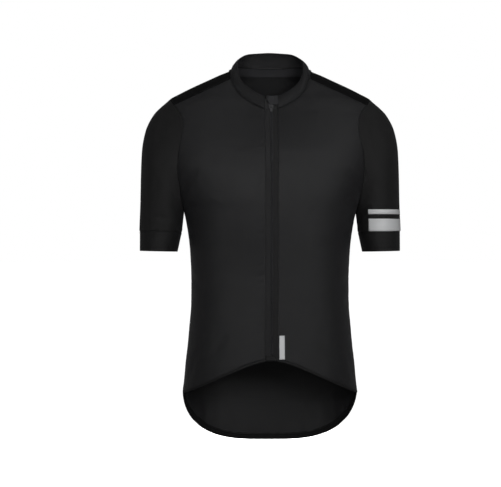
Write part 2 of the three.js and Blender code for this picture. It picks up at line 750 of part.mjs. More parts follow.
// The slider's own frame: the pivot's foot on the zip, z up along the zip and -y out of it
function sliderFrame() {
  const foot = frontSpot(0, { height: PIVOT_HEIGHT - 10 }).point;
  const head = frontSpot(0, { share: 0.7 }).point;
  const along = head.sub(foot).normalize();
  const frame = new THREE.Group();
  frame.position.copy(foot).addScaledVector(along, (PIVOT_HEIGHT - foot.z) / along.z);
  frame.rotation.x = -Math.atan2(along.y, along.z);
  jersey.add(frame);
  return frame;
}

// The slider's bridge from the side: out from the face, over the pull's bar and back
function bridgeGeometry() {
  const { low, high, bar, corner, clear, width } = BRIDGE;
  const face = SLIDER_FACE - 0.5;
  const under = PIVOT_OUT + clear;
  const over = under + bar;
  const arch = new THREE.Shape();
  arch.moveTo(face, low);
  arch.lineTo(over - corner, low);
  arch.lineTo(over, low + corner);
  arch.lineTo(over, high - corner);
  arch.lineTo(over - corner, high);
  arch.lineTo(face, high);
  arch.lineTo(face, high - bar);
  arch.lineTo(under, high - bar);
  arch.lineTo(under, low + bar);
  arch.lineTo(face, low + bar);
  const geometry = new THREE.ExtrudeGeometry(arch, { depth: width, bevelEnabled: false });
  return geometry.rotateX(Math.PI / 2).rotateZ(-Math.PI / 2).translate(width / 2, 0, 0);
}

function zipHardware() {
  const frame = sliderFrame();
  const { halfLow, halfHigh, corner } = SLIDER;
  const face = roundedShape(halfLow, halfHigh, SLIDER_LOW, SLIDER_HIGH, corner);
  const body = solid(plate(face, SLIDER_BACK, SLIDER_FACE)).add(solid(bridgeGeometry()));
  addPiece("zip_slider", solidGeometry(body), "blackMetal", frame);

  const bar = PULL_BAR / 2;
  const tab = roundedShape(PULL.halfLow, PULL.halfHigh, -PULL_LENGTH, bar, PULL.corner);
  const window = new THREE.Path();
  window.moveTo(-PULL.window, -bar);
  window.lineTo(-PULL.window, PULL.windowFoot);
  window.lineTo(PULL.window, PULL.windowFoot);
  window.lineTo(PULL.window, -bar);
  window.closePath();
  tab.holes.push(window);
  addPiece("zip_pull", plate(tab, PIVOT_OUT - bar, PIVOT_OUT + bar), "blackMetal", frame);
}

// Three rear pockets over the back, that stand a little away from it at their mouths
function pocket(name, fromX, toX, columns) {
  const xs = spread(columns).map((share) => lerp(fromX, toX, share));
  const rows = spread(CELLS.pocketHeight);
  const patch = rows.map((share) =>
    xs.map((x) => {
      const outward = Math.abs(x) / POCKET_OUTER;
      const beyond = smoothShare((Math.abs(x) - POCKET_DIVIDER) / POCKET_MOUTH_SWEEP);
      const foot = POCKET_FOOT + POCKET_FOOT_RISE * outward ** 2;
      const mouth = POCKET_MOUTH - POCKET_MOUTH_DROP * beyond;
      const height = lerp(foot, mouth, share);
      return [turnAt(x, height, "back"), height];
    }),
  );
  const last = rows.length - 1;
  const gape = (r, c) => {
    const across = Math.sin((Math.PI * c) / columns);
    return LIFT_OVER_FACETS + CLOTH + POCKET_GAPE * across * smoothShare(r / last) ** 2;
  };
  addPiece(name, wallGeometry(pairs(onBody(patch), gape, CLOTH)), "knit");
}

function pockets() {
  const inner = POCKET_DIVIDER + POCKET_GAP / 2;
  const outer = POCKET_DIVIDER - POCKET_GAP / 2;
  pocket("pocket_left", POCKET_OUTER, inner, CELLS.pocketSide);
  pocket("pocket_centre", outer, -outer, CELLS.pocketMiddle);
  pocket("pocket_right", -inner, -POCKET_OUTER, CELLS.pocketSide);
}

function hemStrip() {
  const { left, right, foot, top } = STRIP;
  const levels = spread(CELLS.strip).map((share) => ({ height: lerp(foot, top, share) }));
  const surface = frontSurface([left, (left + right) / 2, right], levels);
  addPiece("hem_strip", wallGeometry(pairs(surface, SEAM + 2 * FILM, FILM)), "reflective");
}

const zipEdge = frontPanels();
backPanel();
yokes();
sleeves();
sleeveHoops();
collar();
zipTapes(zipEdge);
zipStop();
zipHardware();
zipGarage();
pockets();
hemStrip();

export default jersey;
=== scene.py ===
"""Cycling jersey: thin knit shells, sewing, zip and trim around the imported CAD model.

Shapes are worked out in millimetres, +Z up, with the front facing -Y and +X the wearer's left.
"""

import json
import math

import bpy
import numpy as np
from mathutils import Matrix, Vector

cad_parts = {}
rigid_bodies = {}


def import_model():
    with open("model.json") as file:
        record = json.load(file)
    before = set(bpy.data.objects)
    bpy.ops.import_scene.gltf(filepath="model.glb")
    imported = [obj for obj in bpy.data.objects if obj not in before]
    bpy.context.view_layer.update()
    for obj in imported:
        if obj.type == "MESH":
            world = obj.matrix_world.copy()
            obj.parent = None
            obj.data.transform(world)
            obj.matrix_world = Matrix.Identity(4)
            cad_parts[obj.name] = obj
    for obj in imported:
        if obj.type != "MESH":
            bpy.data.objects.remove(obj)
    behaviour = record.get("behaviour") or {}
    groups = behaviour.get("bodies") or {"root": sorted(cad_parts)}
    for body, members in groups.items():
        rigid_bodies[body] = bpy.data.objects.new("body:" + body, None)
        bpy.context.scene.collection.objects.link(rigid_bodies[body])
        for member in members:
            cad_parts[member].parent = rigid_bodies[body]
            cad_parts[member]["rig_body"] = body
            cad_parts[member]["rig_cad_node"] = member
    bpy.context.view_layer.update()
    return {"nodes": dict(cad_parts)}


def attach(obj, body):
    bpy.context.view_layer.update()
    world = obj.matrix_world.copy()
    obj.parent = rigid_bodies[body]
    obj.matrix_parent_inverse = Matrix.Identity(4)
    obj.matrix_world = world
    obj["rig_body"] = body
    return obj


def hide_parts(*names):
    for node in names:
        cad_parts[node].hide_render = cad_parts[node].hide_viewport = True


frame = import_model()

MM = 0.001

# Walls, seams and the finish of their edges
CLOTH = 1.0
COLLAR_CLOTH = 2.0
BAND_PROUD = 0.4
FILM = 0.35
GROOVE_DEPTH = 0.55
GROOVE_WIDTH = 2.0
EDGE_STEPS = np.array([0, 0.35, 0.9, 1.8, 3.2])
CELL = 3.2

# Neck, hem and armholes
NECK_FRONT = -76
NECK_RISE = 78
NECK_BACK_RISE = 10
NECK_SWEEP = math.radians(26.8)
NECK_SWEEP_POWER = 1.35
NECK_REAR_TURN = 1.25
NECK_REAR_SWEEP = 0.95
HEM_FRONT = -543
HEM_SIDE = -608
HEM_BACK = -710
HEM_PEAK_ROUNDING = 0.25
TAIL_SQUARENESS = 3.2
FRONT_BINDING = 4
TAIL_BAND = 10.5
ARMHOLE_TOP = -53
ARMHOLE_FOOT = -266
ARMHOLE_MIDDLE = (ARMHOLE_TOP + ARMHOLE_FOOT) / 2
ARMHOLE_HALF_HEIGHT = (ARMHOLE_TOP - ARMHOLE_FOOT) / 2
ARMHOLE_HALF_DEPTH = 68
YOKE_END = -66
YOKE_NECK_TURN_FRONT = math.radians(36.6)
YOKE_NECK_TURN_BACK = math.radians(138)
YOKE_ANGLE = math.acos((YOKE_END - ARMHOLE_MIDDLE) / ARMHOLE_HALF_HEIGHT)
HOOP_REACH = math.radians(135)

# Zip
ZIP_HALF_WIDTH = 12
TAPE = 0.9
TAPE_SUNK = 0.3
TOOTH_PITCH = 1.35
ZIP_TOP = 0.86
ZIP_STOP_TOP = -530
SLIDER_FOOT = -78

# Rear pockets
POCKET_DIVIDER = 72
POCKET_OUTER = 143
POCKET_MOUTH = -470
POCKET_MOUTH_DROP = 16
POCKET_SLANT = 60
POCKET_FOOT = -632
POCKET_FOOT_RISE = 10
POCKET_FULLNESS = 3.2


def table(names, *rows):
    """A table as its named columns."""
    return dict(zip(names.split(), np.array(rows, float).T))


# Horizontal sections of the body: half width, depth to the front and to the back
BODY = table(
    "height half front back",
    (-720, 166, 112, 117),
    (-660, 166, 112, 117),
    (-608, 165.5, 112, 116),
    (-585, 163, 111, 115),
    (-551, 160, 109, 112),
    (-517, 156, 106.5, 108),
    (-483, 153, 104, 103),
    (-440, 149.5, 102.5, 98),
    (-395, 149, 103, 97),
    (-346, 151, 107, 100),
    (-300, 156, 112.5, 106),
    (-266, 163, 115.5, 110),
    (-240, 176, 117, 113),
    (-200, 196, 115.5, 116),
    (-160, 209, 107, 116),
    (-130, 213, 95, 112.5),
    (-100, 212, 80.5, 106.5),
    (-76, 207, 68, 100),
    (-64, 200, 62.5, 96),
    (-53, 190, 57, 92),
    (-42, 170, 51, 87),
    (-30, 146, 46, 81),
    (-19, 122, 42, 76),
    (-8, 98, 38, 71),
    (2, 75.5, 33, 66),
    (14, 64.5, 27, 58),
)
BEND = 2 / 2.3

# Rings of the left sleeve and cuff, each from its outer to its inner point
SLEEVE = table(
    "step out_x out_z in_x in_z depth",
    (0, 190, -53, 163, -266, 68),
    (1, 221, -83, 164, -274, 67.5),
    (2, 236.5, -115, 165, -281, 66),
    (3, 243, -152, 165.6, -287, 63.5),
    (4, 245, -200, 166.2, -293.5, 60.5),
    (5, 246, -250, 166.6, -299, 57.5),
    (6, 248, -302, 167.4, -304.5, 54.5),
)
CUFF = table(
    "step out_x out_z in_x in_z depth",
    (0, 246.6, -302.4, 167.6, -304.9, 54),
    (1, 246.8, -340, 175.5, -341.5, 51.5),
)
SLEEVE_LAST = 6

# Collar: how far its rim rises above and leans in from the neck seam, by degrees from the front
COLLAR = table(
    "turn rise lean",
    (0, 23, 9),
    (40, 21, 10.5),
    (90, 17, 10.5),
    (115, 18, 4),
    (140, 26, 0.5),
    (180, 30, 4),
)

# Creases of the body: from one turn in degrees and height to another, with their width and depth.
# A turn of 90 is the wearer's left side seam and 180 the back centre; a ridge has a negative depth.
BODY_CREASES = table(
    "turn height to_turn to_height bow width depth",
    (72, -236, 40, -196, 4, 12, 2.2),
    (76, -262, 46, -240, -3, 10, 1.7),
    (80, -286, 58, -300, 3, 13, 1.5),
    (286, -240, 322, -188, -4, 13, 2.0),
    (282, -266, 308, -252, 3, 10, 1.8),
    (279, -292, 297, -318, -3, 12, 1.2),
    (84, -392, 52, -408, 3, 13, 1.3),
    (86, -428, 64, -436, -2, 9, 0.9),
    (276, -382, 304, -402, -3, 12, 1.4),
    (275, -420, 292, -424, 2, 10, 0.8),
    (28, -500, 50, -560, 3, 16, 1.0),
    (329, -488, 316, -556, -3, 15, 1.1),
    (62, -520, 72, -592, 2, 13, 0.9),
    (301, -530, 290, -590, -2, 12, 1.0),
    (24, -96, 20, -132, 2, 10, 0.4),
    (335, -98, 341, -126, -2, 10, 0.35),
    (104, -240, 132, -196, -4, 13, 2.1),
    (101, -268, 128, -250, 3, 11, 1.8),
    (98, -296, 120, -316, -3, 12, 1.3),
    (256, -236, 226, -204, 4, 12, 2.2),
    (259, -262, 236, -246, -3, 11, 1.6),
    (262, -290, 244, -306, 3, 13, 1.3),
    (96, -372, 150, -392, 5, 15, 1.7),
    (97, -404, 138, -426, -4, 12, 1.5),
    (264, -366, 208, -384, -5, 14, 1.8),
    (262, -398, 226, -430, 4, 12, 1.3),
    (158, -404, 206, -410, -4, 13, 1.0),
    (166, -434, 190, -438, 3, 10, 0.8),
    (150, -92, 158, -150, 3, 14, 1.3),
    (211, -96, 203, -142, -3, 13, 1.2),
    (170, -60, 189, -62, 3, 9, 0.7),
    (126, -640, 120, -690, 3, 14, 1.3),
    (152, -646, 155, -700, -2, 16, 1.1),
    (204, -650, 201, -702, 3, 15, 1.2),
    (232, -642, 238, -688, -3, 13, 1.4),
)

# Creases of a sleeve: from one angle in degrees and step to another. The angle is 0 on the outer
# side, 90 in front and 180 at the inner seam.
LEFT_SLEEVE_CREASES = table(
    "angle step to_angle to_step bow width depth",
    (158, 0.9, 96, 1.5, 6, 10, 2.0),
    (166, 2.2, 104, 3.0, -5, 9, 1.6),
    (172, 3.8, 120, 4.4, 4, 8, 1.2),
    (120, 5.2, 60, 5.5, 4, 9, 0.8),
    (200, 0.9, 262, 1.6, -6, 10, 2.0),
    (194, 2.4, 252, 3.1, 5, 9, 1.5),
    (188, 4.1, 236, 4.7, -4, 8, 1.1),
    (40, 0.4, 66, 1.6, 4, 13, 0.9),
    (318, 0.5, 296, 1.7, -4, 12, 0.9),
)
RIGHT_SLEEVE_CREASES = table(
    "angle step to_angle to_step bow width depth",
    (162, 1.1, 92, 1.8, 6, 10, 2.1),
    (168, 2.7, 112, 3.3, -5, 9, 1.4),
    (170, 4.3, 128, 4.8, 4, 9, 1.2),
    (112, 4.9, 66, 5.4, -4, 8, 0.7),
    (197, 1.1, 258, 1.4, -5, 11, 1.9),
    (192, 2.1, 246, 3.3, 5, 9, 1.6),
    (189, 4.4, 230, 4.5, 4, 8, 1.0),
    (34, 0.5, 60, 1.9, -4, 12, 1.0),
    (322, 0.4, 302, 1.5, 4, 13, 0.8),
)


def lerp(start, end, share):
    return start + (end - start) * share


def signed_power(value, power):
    return np.sign(value) * np.abs(value) ** power


def smooth_share(value):
    share = np.clip(value, 0, 1)
    return share * share * (3 - 2 * share)


def unit(vectors):
    return vectors / np.maximum(np.linalg.norm(vectors, axis=-1, keepdims=True), 1e-9)


def column_curve(rows, key, value):
    """Monotone cubic curve through one column of a table, which never overshoots its rows."""
    at, to = rows[key], rows[value]
    slopes = np.diff(to) / np.diff(at)
    before, after = slopes[:-1], slopes[1:]
    total = np.where(before * after > 0, before + after, 1)
    inner = np.where(before * after > 0, 2 * before * after / total, 0)
    tangents = np.concatenate([slopes[:1], inner, slopes[-1:]])

    def curve(x):
        i = np.clip(np.searchsorted(at, x) - 1, 0, len(at) - 2)
        width = at[i + 1] - at[i]
        s = np.clip((x - at[i]) / width, 0, 1)
        leave = tangents[i] * s * (1 - s) ** 2 * width
        arrive = tangents[i + 1] * s * s * (s - 1) * width
        return lerp(to[i], to[i + 1], smooth_share(s)) + leave + arrive

    return curve


half = column_curve(BODY, "height", "half")
front = column_curve(BODY, "height", "front")
back = column_curve(BODY, "height", "back")


def body_point(places):
    """Points of the body at places, each a turn and a height."""
    turn, height = places[..., 0], places[..., 1]
    depth = np.where(np.cos(turn) > 0, front(height), back(height))
    x = half(height) * signed_power(np.sin(turn), BEND)
    y = -depth * signed_power(np.cos(turn), BEND)
    return np.stack([x, y, height], -1)


def reach(x, y, z):
    depth = np.where(y < 0, front(z), back(z))
    return np.abs(x / half(z)) ** (2 / BEND) + np.abs(y / depth) ** (2 / BEND)


def body_normal(places):
    x, y, z = np.moveaxis(body_point(places), -1, 0)
    small = 0.4
    across = reach(x + small, y, z) - reach(x - small, y, z)
    deep = reach(x, y + small, z) - reach(x, y - small, z)
    up = reach(x, y, z + small) - reach(x, y, z - small)
    return unit(np.stack([across, deep, up], -1))


def turn_at(x, height, facing):
    """The turn where a front or back part of the section at this height has this x."""
    turn = np.arcsin(np.minimum(1, np.abs(x) / half(height)) ** (1 / BEND))
    quarter_on = turn if facing == "front" else math.pi - turn
    return np.where(x < 0, 2 * math.pi - quarter_on, quarter_on)


def turn_towards(x, y, height):
    depth = np.where(y < 0, front(height), back(height))
    across = signed_power(x / half(height), 1 / BEND)
    turn = np.arctan2(across, signed_power(-y / depth, 1 / BEND))
    return np.where(turn < 0, turn + 2 * math.pi, turn)


def neck_place(turn):
    round_it = np.arccos(np.cos(turn))
    sweep = 1 - np.exp(-((round_it / NECK_SWEEP) ** NECK_SWEEP_POWER))
    rear = smooth_share((round_it - NECK_REAR_TURN) / NECK_REAR_SWEEP)
    return np.stack([turn, NECK_FRONT + NECK_RISE * sweep + NECK_BACK_RISE * rear], -1)


def hem_place(turn):
    across = np.abs(np.sin(turn)) ** BEND
    fall = np.hypot(across, HEM_PEAK_ROUNDING) - HEM_PEAK_ROUNDING
    share = fall / (math.hypot(1, HEM_PEAK_ROUNDING) - HEM_PEAK_ROUNDING)
    in_front = lerp(HEM_FRONT, HEM_SIDE, share)
    tail = np.sqrt(np.maximum(0, 1 - across**TAIL_SQUARENESS))
    behind = lerp(HEM_SIDE, HEM_BACK, tail)
    return np.stack([turn, np.where(np.cos(turn) > 0, in_front, behind)], -1)


def armhole_place(angle):
    """The left armhole, an ellipse seen from the side: 0 at the shoulder, positive in front."""
    height = ARMHOLE_MIDDLE + ARMHOLE_HALF_HEIGHT * np.cos(angle)
    y = -ARMHOLE_HALF_DEPTH * np.sin(angle)
    depth = np.where(y < 0, front(height), back(height))
    outward = np.sqrt(np.maximum(0, 1 - np.abs(y / depth) ** (2 / BEND)))
    return np.stack([np.arctan2(outward, signed_power(-y / depth, 1 / BEND)), height], -1)


# Samples of an edge in each of its cells, and of a curve before it is spaced evenly
EDGE_SAMPLES = 240
CURVE_SAMPLES = 1500


def distances(points):
    """How far along a path each of its points is."""
    return np.concatenate([[0], np.cumsum(np.linalg.norm(np.diff(points, axis=0), axis=1))])


def evenly(curve, start, end, cells=1):
    """Places along a curve, evenly spaced on the body."""
    parameters = np.linspace(start, end, CURVE_SAMPLES)
    lengths = distances(body_point(curve(parameters)))
    targets = np.linspace(0, lengths[-1], cells * EDGE_SAMPLES + 1)
    return curve(np.interp(targets, lengths, parameters))


def straight_seam(start, end, facing, cells):
    (a, b), shares = body_point(np.stack([start, end])), np.linspace(0, 1, cells * EDGE_SAMPLES + 1)
    height = lerp(a[2], b[2], shares)
    seam = np.stack([turn_at(lerp(a[0], b[0], shares), height, facing), height], -1)
    seam[0], seam[-1] = start, end
    return seam


def joined(*edges):
    return np.concatenate([edges[0], *[edge[1:] for edge in edges[1:]]])


def pick(edge, shares):
    """Places at these shares of a finely sampled edge."""
    at = np.linspace(0, 1, len(edge))
    return np.stack([np.interp(shares, at, edge[:, 0]), np.interp(shares, at, edge[:, 1])], -1)


def mirrored(edge):
    return np.stack([2 * math.pi - edge[:, 0], edge[:, 1]], -1)


def path_length(points):
    return float(np.linalg.norm(np.diff(points, axis=0), axis=1).sum())


# Cells that the panels' edges have in the CAD model, which set how the edges of a panel match
SIDE, ARMHOLE, NECK, YOKE, YOKE_WIDE, BACK_NECK = 11, 10, 5, 7, 5, 9

zip_neck_turn = float(turn_at(ZIP_HALF_WIDTH, NECK_FRONT, "front"))
zip_hem_turn = float(turn_at(ZIP_HALF_WIDTH, HEM_FRONT, "front"))
front_neck = evenly(neck_place, zip_neck_turn, YOKE_NECK_TURN_FRONT, NECK)
yoke_neck = evenly(neck_place, YOKE_NECK_TURN_FRONT, YOKE_NECK_TURN_BACK, YOKE_WIDE)
back_neck = evenly(neck_place, YOKE_NECK_TURN_BACK, 2 * math.pi - YOKE_NECK_TURN_BACK, BACK_NECK)
front_armhole = evenly(armhole_place, math.pi, YOKE_ANGLE, ARMHOLE)
yoke_armhole = evenly(armhole_place, YOKE_ANGLE, -YOKE_ANGLE, YOKE_WIDE)
back_armhole = evenly(armhole_place, -math.pi, -YOKE_ANGLE, ARMHOLE)
front_yoke_seam = straight_seam(front_neck[-1], front_armhole[-1], "front", YOKE)
back_yoke_seam = straight_seam(back_neck[0], back_armhole[-1], "back", YOKE)
armpit = front_armhole[0]
whole_neck = joined(front_neck, yoke_neck, back_neck, mirrored(yoke_neck)[::-1], mirrored(front_neck)[::-1])


def band_seam(edge, width):
    """The seam a band's width further in than a hem edge. Its ends go straight up."""
    points, normals = body_point(edge), body_normal(edge)
    up = np.cross(normals, unit(np.gradient(points, axis=0)))
    up *= np.sign(up[:, 2:])
    small = 0.001
    nudged = edge + [small, 0]
    across = (body_point(nudged) - points) / small
    rising = body_point(edge + [0, 1]) - points
    sideways = width * (up - rising * up[:, 2:])
    turned = (sideways * across).sum(-1) / (across**2).sum(-1)
    along = distances(points)
    inner = smooth_share(np.minimum(along, along[-1] - along) / (4 * width))
    rise = lerp(width / up[:, 2], width * up[:, 2], inner)
    return edge + np.stack([turned * inner, rise], -1)


front_hem = evenly(hem_place, zip_hem_turn, math.pi / 2, NECK + YOKE)
front_hem_seam = band_seam(front_hem, FRONT_BINDING)
tail_hem = evenly(hem_place, math.pi / 2, 1.5 * math.pi, 2 * YOKE + BACK_NECK)
tail_hem_seam = band_seam(tail_hem, TAIL_BAND)


def side_seam(foot):
    height = np.linspace(foot[1], armpit[1], SIDE * EDGE_SAMPLES + 1)
    return np.stack([np.full_like(height, math.pi / 2), height], -1)


def fill_patch(bottom, top, left, right, u, v):
    """Places filled in between four edges, at shares u across and v up."""
    low, high = pick(bottom, u), pick(top, u)
    start, end = pick(left, v), pick(right, v)
    low_p, high_p, start_p, end_p = map(body_point, (low, high, start, end))
    uu, vv = u[None, :, None], v[:, None, None]
    sides = lerp(start_p[:, None], end_p[:, None], uu)
    ends = lerp(low_p[None], high_p[None], vv)
    corners = lerp(lerp(low_p[0], low_p[-1], uu), lerp(high_p[0], high_p[-1], uu), vv)
    x, y, z = np.moveaxis(sides + ends - corners, -1, 0)
    places = np.stack([turn_towards(x, y, z), z], -1)
    places[0], places[-1], places[:, 0], places[:, -1] = low, high, start, end
    return places


def finer_shares(length, cell=CELL, corners=()):
    """Shares along a length: even cells, exact at the corners, with finer cells by both ends."""
    stops = [0, *corners, 1]
    runs = zip(stops, stops[1:])
    parts = [np.linspace(a, b, max(2, round((b - a) * length / cell) + 1)) for a, b in runs]
    edge = EDGE_STEPS / length
    inner = np.unique(np.round(np.concatenate(parts), 9))
    inner = inner[(inner > 1.3 * edge[-1]) & (inner < 1 - 1.3 * edge[-1])]
    return np.concatenate([edge, inner, 1 - edge[::-1]])


def ring_surface(rows):
    curves = [column_curve(rows, "step", name) for name in ("out_x", "out_z", "in_x", "in_z", "depth")]

    def point(angle, step):
        out_x, out_z, in_x, in_z, depth = (curve(step) for curve in curves)
        share = (1 - np.cos(angle)) / 2
        return np.stack([lerp(out_x, in_x, share), -depth * np.sin(angle), lerp(out_z, in_z, share)], -1)

    return point


sleeve_ring = ring_surface(SLEEVE)
cuff_point = ring_surface(CUFF)


def sleeve_point(angle, step):
    """The sleeve leaves the armhole's edge and settles into its rings within three steps."""
    settle = smooth_share(1 - step / 3)
    miss = body_point(armhole_place(angle)) - sleeve_ring(angle, np.zeros_like(step))
    return sleeve_ring(angle, step) + miss * settle[..., None]


def surface_normal(point, angle, step, last):
    small = 0.01
    round_it = point(angle + small, step) - point(angle - small, step)
    down = point(angle, np.minimum(last, step + small)) - point(angle, np.maximum(0, step - small))
    return unit(np.cross(round_it, down))


rise = column_curve(COLLAR, "turn", "rise")
lean = column_curve(COLLAR, "turn", "lean")

# The collar leans away from its seam's direction, taken over this turn to each side, and swells
COLLAR_EASE = 0.08
COLLAR_BULGE = 1.2


def collar_point(turn, share):
    """A point of the collar: the share runs from 0 at the neck seam to 1 at the rim."""
    ahead, behind = neck_place(turn + COLLAR_EASE), neck_place(turn - COLLAR_EASE)
    along = body_point(ahead) - body_point(behind)
    base = body_point(neck_place(turn))
    outward = unit(np.stack([along[..., 1], -along[..., 0], np.zeros_like(turn)], -1))
    outward *= np.sign((outward * base).sum(-1, keepdims=True))
    degrees = np.degrees(np.arccos(np.cos(turn)))
    out = COLLAR_BULGE * 4 * share * (1 - share) - lean(degrees) * share
    up = np.stack([np.zeros_like(turn), np.zeros_like(turn), rise(degrees) * share], -1)
    return base + up + outward * out[..., None]


def collar_normal(turn, share):
    small = 0.01
    round_it = collar_point(turn + small, share) - collar_point(turn - small, share)
    up = collar_point(turn, np.minimum(1, share + small)) - collar_point(turn, np.maximum(0, share - small))
    return unit(np.cross(round_it, up))


def front_surface(xs, levels, up_collar=False):
    """Points and normals of the front, at each x from the centre and each height or collar share."""
    x, level = np.meshgrid(np.asarray(xs, float), np.asarray(levels, float))
    if up_collar:
        turn = turn_at(x, np.full_like(x, NECK_FRONT), "front")
        return collar_point(turn, level), collar_normal(turn, level)
    places = np.stack([turn_at(x, level, "front"), level], -1)
    return body_point(places), body_normal(places)


# Finishes


def nodes_of(material):
    tree = material.node_tree
    return tree.nodes, tree.links


def new_material(name, colour, roughness, specular=0.5, metallic=0.0, sheen=0.0, sheen_roughness=0.5):
    material = bpy.data.materials.new(name)
    material.use_nodes = True
    shader = material.node_tree.nodes["Principled BSDF"]
    shader.inputs["Base Color"].default_value = (*colour, 1)
    shader.inputs["Roughness"].default_value = roughness
    shader.inputs["Metallic"].default_value = metallic
    shader.inputs["Specular IOR Level"].default_value = specular
    shader.inputs["Sheen Weight"].default_value = sheen
    shader.inputs["Sheen Roughness"].default_value = sheen_roughness
    shader.inputs["Sheen Tint"].default_value = (0.8, 0.8, 0.85, 1)
    return material, shader


def maths(material, operation, a, b=None):
    """A Math node. Each input is a number or another node's output."""
    nodes, links = nodes_of(material)
    node = nodes.new("ShaderNodeMath")
    node.operation = operation
    for socket, value in zip(node.inputs, (a, b)):
        if isinstance(value, (int, float)):
            socket.default_value = value
        elif value is not None:
            links.new(value, socket)
    return node.outputs[0]


def wave(material, place, turns):
    """A sine along a place, with this many radians to its unit."""
    return maths(material, "SINE", maths(material, "MULTIPLY", place, turns))


def texture(material, kind, scale):
    """A texture node that follows the object."""
    nodes, links = nodes_of(material)
    node = nodes.new(kind)
    node.inputs["Scale"].default_value = scale
    links.new(nodes.new("ShaderNodeTexCoord").outputs["Object"], node.inputs["Vector"])
    return node


def cloth_place(material):
    """Metres across and up the cloth, from its own grain."""
    nodes, links = nodes_of(material)
    split = nodes.new("ShaderNodeSeparateXYZ")
    links.new(nodes.new("ShaderNodeUVMap").outputs[0], split.inputs[0])
    return split.outputs[0], split.outputs[1]


def add_bump(material, shader, height, depth):
    nodes, links = nodes_of(material)
    bump = nodes.new("ShaderNodeBump")
    bump.inputs["Distance"].default_value = depth
    bump.inputs["Strength"].default_value = 1
    links.new(height, bump.inputs["Height"])
    links.new(bump.outputs[0], shader.inputs["Normal"])


def mottle(material, shader, colour, spread, scale=35):
    """Slow uneven lightness, as dyed knit has."""
    nodes, links = nodes_of(material)
    noise = texture(material, "ShaderNodeTexNoise", scale)
    noise.inputs["Detail"].default_value = 3
    ramp = nodes.new("ShaderNodeValToRGB")
    for element, sign in zip(ramp.color_ramp.elements, (-1, 1)):
        element.color = (*[c * (1 + sign * spread) for c in colour], 1)
    ramp.color_ramp.elements[0].position = 0.3
    ramp.color_ramp.elements[1].position = 0.7
    links.new(noise.outputs["Fac"], ramp.inputs["Fac"])
    links.new(ramp.outputs[0], shader.inputs["Base Color"])


def knit(name, colour, roughness, wale, course, depth, sheen, specular=0.35):
    """Fine jersey knit: rows of small V stitches, a wale wide and a course tall, in metres."""
    material, shader = new_material(name, colour, roughness, specular, 0, sheen, 0.45)
    across, up = cloth_place(material)
    leaning = maths(material, "PINGPONG", maths(material, "DIVIDE", across, wale), 0.5)
    row = maths(material, "ADD", maths(material, "DIVIDE", up, course), leaning)
    loops = wave(material, row, 2 * math.pi)
    ribs = wave(material, leaning, 2 * math.pi)
    height = maths(material, "MULTIPLY", maths(material, "ADD", loops, 1.6), ribs)
    add_bump(material, shader, height, depth)
    mottle(material, shader, colour, 0.06)
    return material


def mesh_knit(name, colour, roughness, cell, depth, sheen):
    """Open pique knit: small dimples in staggered rows."""
    material, shader = new_material(name, colour, roughness, 0.18, 0, sheen, 0.5)
    across, up = cloth_place(material)
    turns = 2 * math.pi / cell
    one = wave(material, maths(material, "ADD", across, up), turns)
    two = wave(material, maths(material, "SUBTRACT", across, up), turns)
    add_bump(material, shader, maths(material, "MULTIPLY", one, two), depth)
    mottle(material, shader, colour, 0.08)
    return material


def ribbed(name, colour, roughness, pitch, depth, sheen, upright=True, specular=0.4):
    """Elastic or woven tape, with ribs at an even pitch."""
    material, shader = new_material(name, colour, roughness, specular, 0, sheen, 0.4)
    across, up = cloth_place(material)
    along = across if upright else up
    other = up if upright else across
    broad = wave(material, along, 2 * math.pi / pitch)
    fine = wave(material, other, 2 * math.pi / (0.6 * pitch))
    add_bump(material, shader, maths(material, "ADD", broad, maths(material, "MULTIPLY", fine, 0.4)), depth)
    mottle(material, shader, colour, 0.06)
    return material


def beaded_film():
    """White reflective film with a fine grain of glass beads."""
    material, shader = new_material("reflective_film", (0.86, 0.87, 0.88), 0.42, 0.6)
    grain = texture(material, "ShaderNodeTexVoronoi", 2500)
    add_bump(material, shader, grain.outputs["Distance"], 0.00003)
    return material


def metal():
    material, shader = new_material("zip_metal", (0.028, 0.028, 0.031), 0.3, 0.6)
    shader.inputs["Coat Weight"].default_value = 0.3
    shader.inputs["Coat Roughness"].default_value = 0.2
    noise = texture(material, "ShaderNodeTexNoise", 1800)
    add_bump(material, shader, noise.outputs["Fac"], 0.00002)
    return material


# Finishes of knits: colour, roughness, width and height of a stitch, depth, sheen and specular. Of a
# mesh knit and of ribs: colour, roughness, width of a cell or rib, depth and sheen.
BODY_KNIT = knit("body_knit", (0.0115, 0.0113, 0.0126), 0.48, 0.0009, 0.0007, 0.00005, 0.06, 0.45)
SLEEVE_KNIT = knit("sleeve_knit", (0.0105, 0.0102, 0.0105), 0.6, 0.0009, 0.0007, 0.00006, 0.03, 0.35)
YOKE_KNIT = mesh_knit("yoke_knit", (0.0026, 0.0026, 0.0028), 0.75, 0.0021, 0.00012, 0.01)
COLLAR_KNIT = knit("collar_knit", (0.0092, 0.0091, 0.0102), 0.52, 0.001, 0.0008, 0.00007, 0.05, 0.38)
BAND = ribbed("elastic_band", (0.0095, 0.0093, 0.0098), 0.6, 0.0016, 0.0001, 0.03, specular=0.35)
# A darker copy of the elastic band for the tail's hem: painted shade, standing in for the shadow inside the
# tail
BAND_PAINTED_SHADE = ribbed("hem_band_painted_shade", (0.0045, 0.0045, 0.0048), 0.7, 0.0016, 0.0001, 0.02, specular=0.3)
ZIP_TAPE = ribbed("zip_tape", (0.0118, 0.0118, 0.0128), 0.55, 0.0008, 0.00006, 0.03, upright=False)
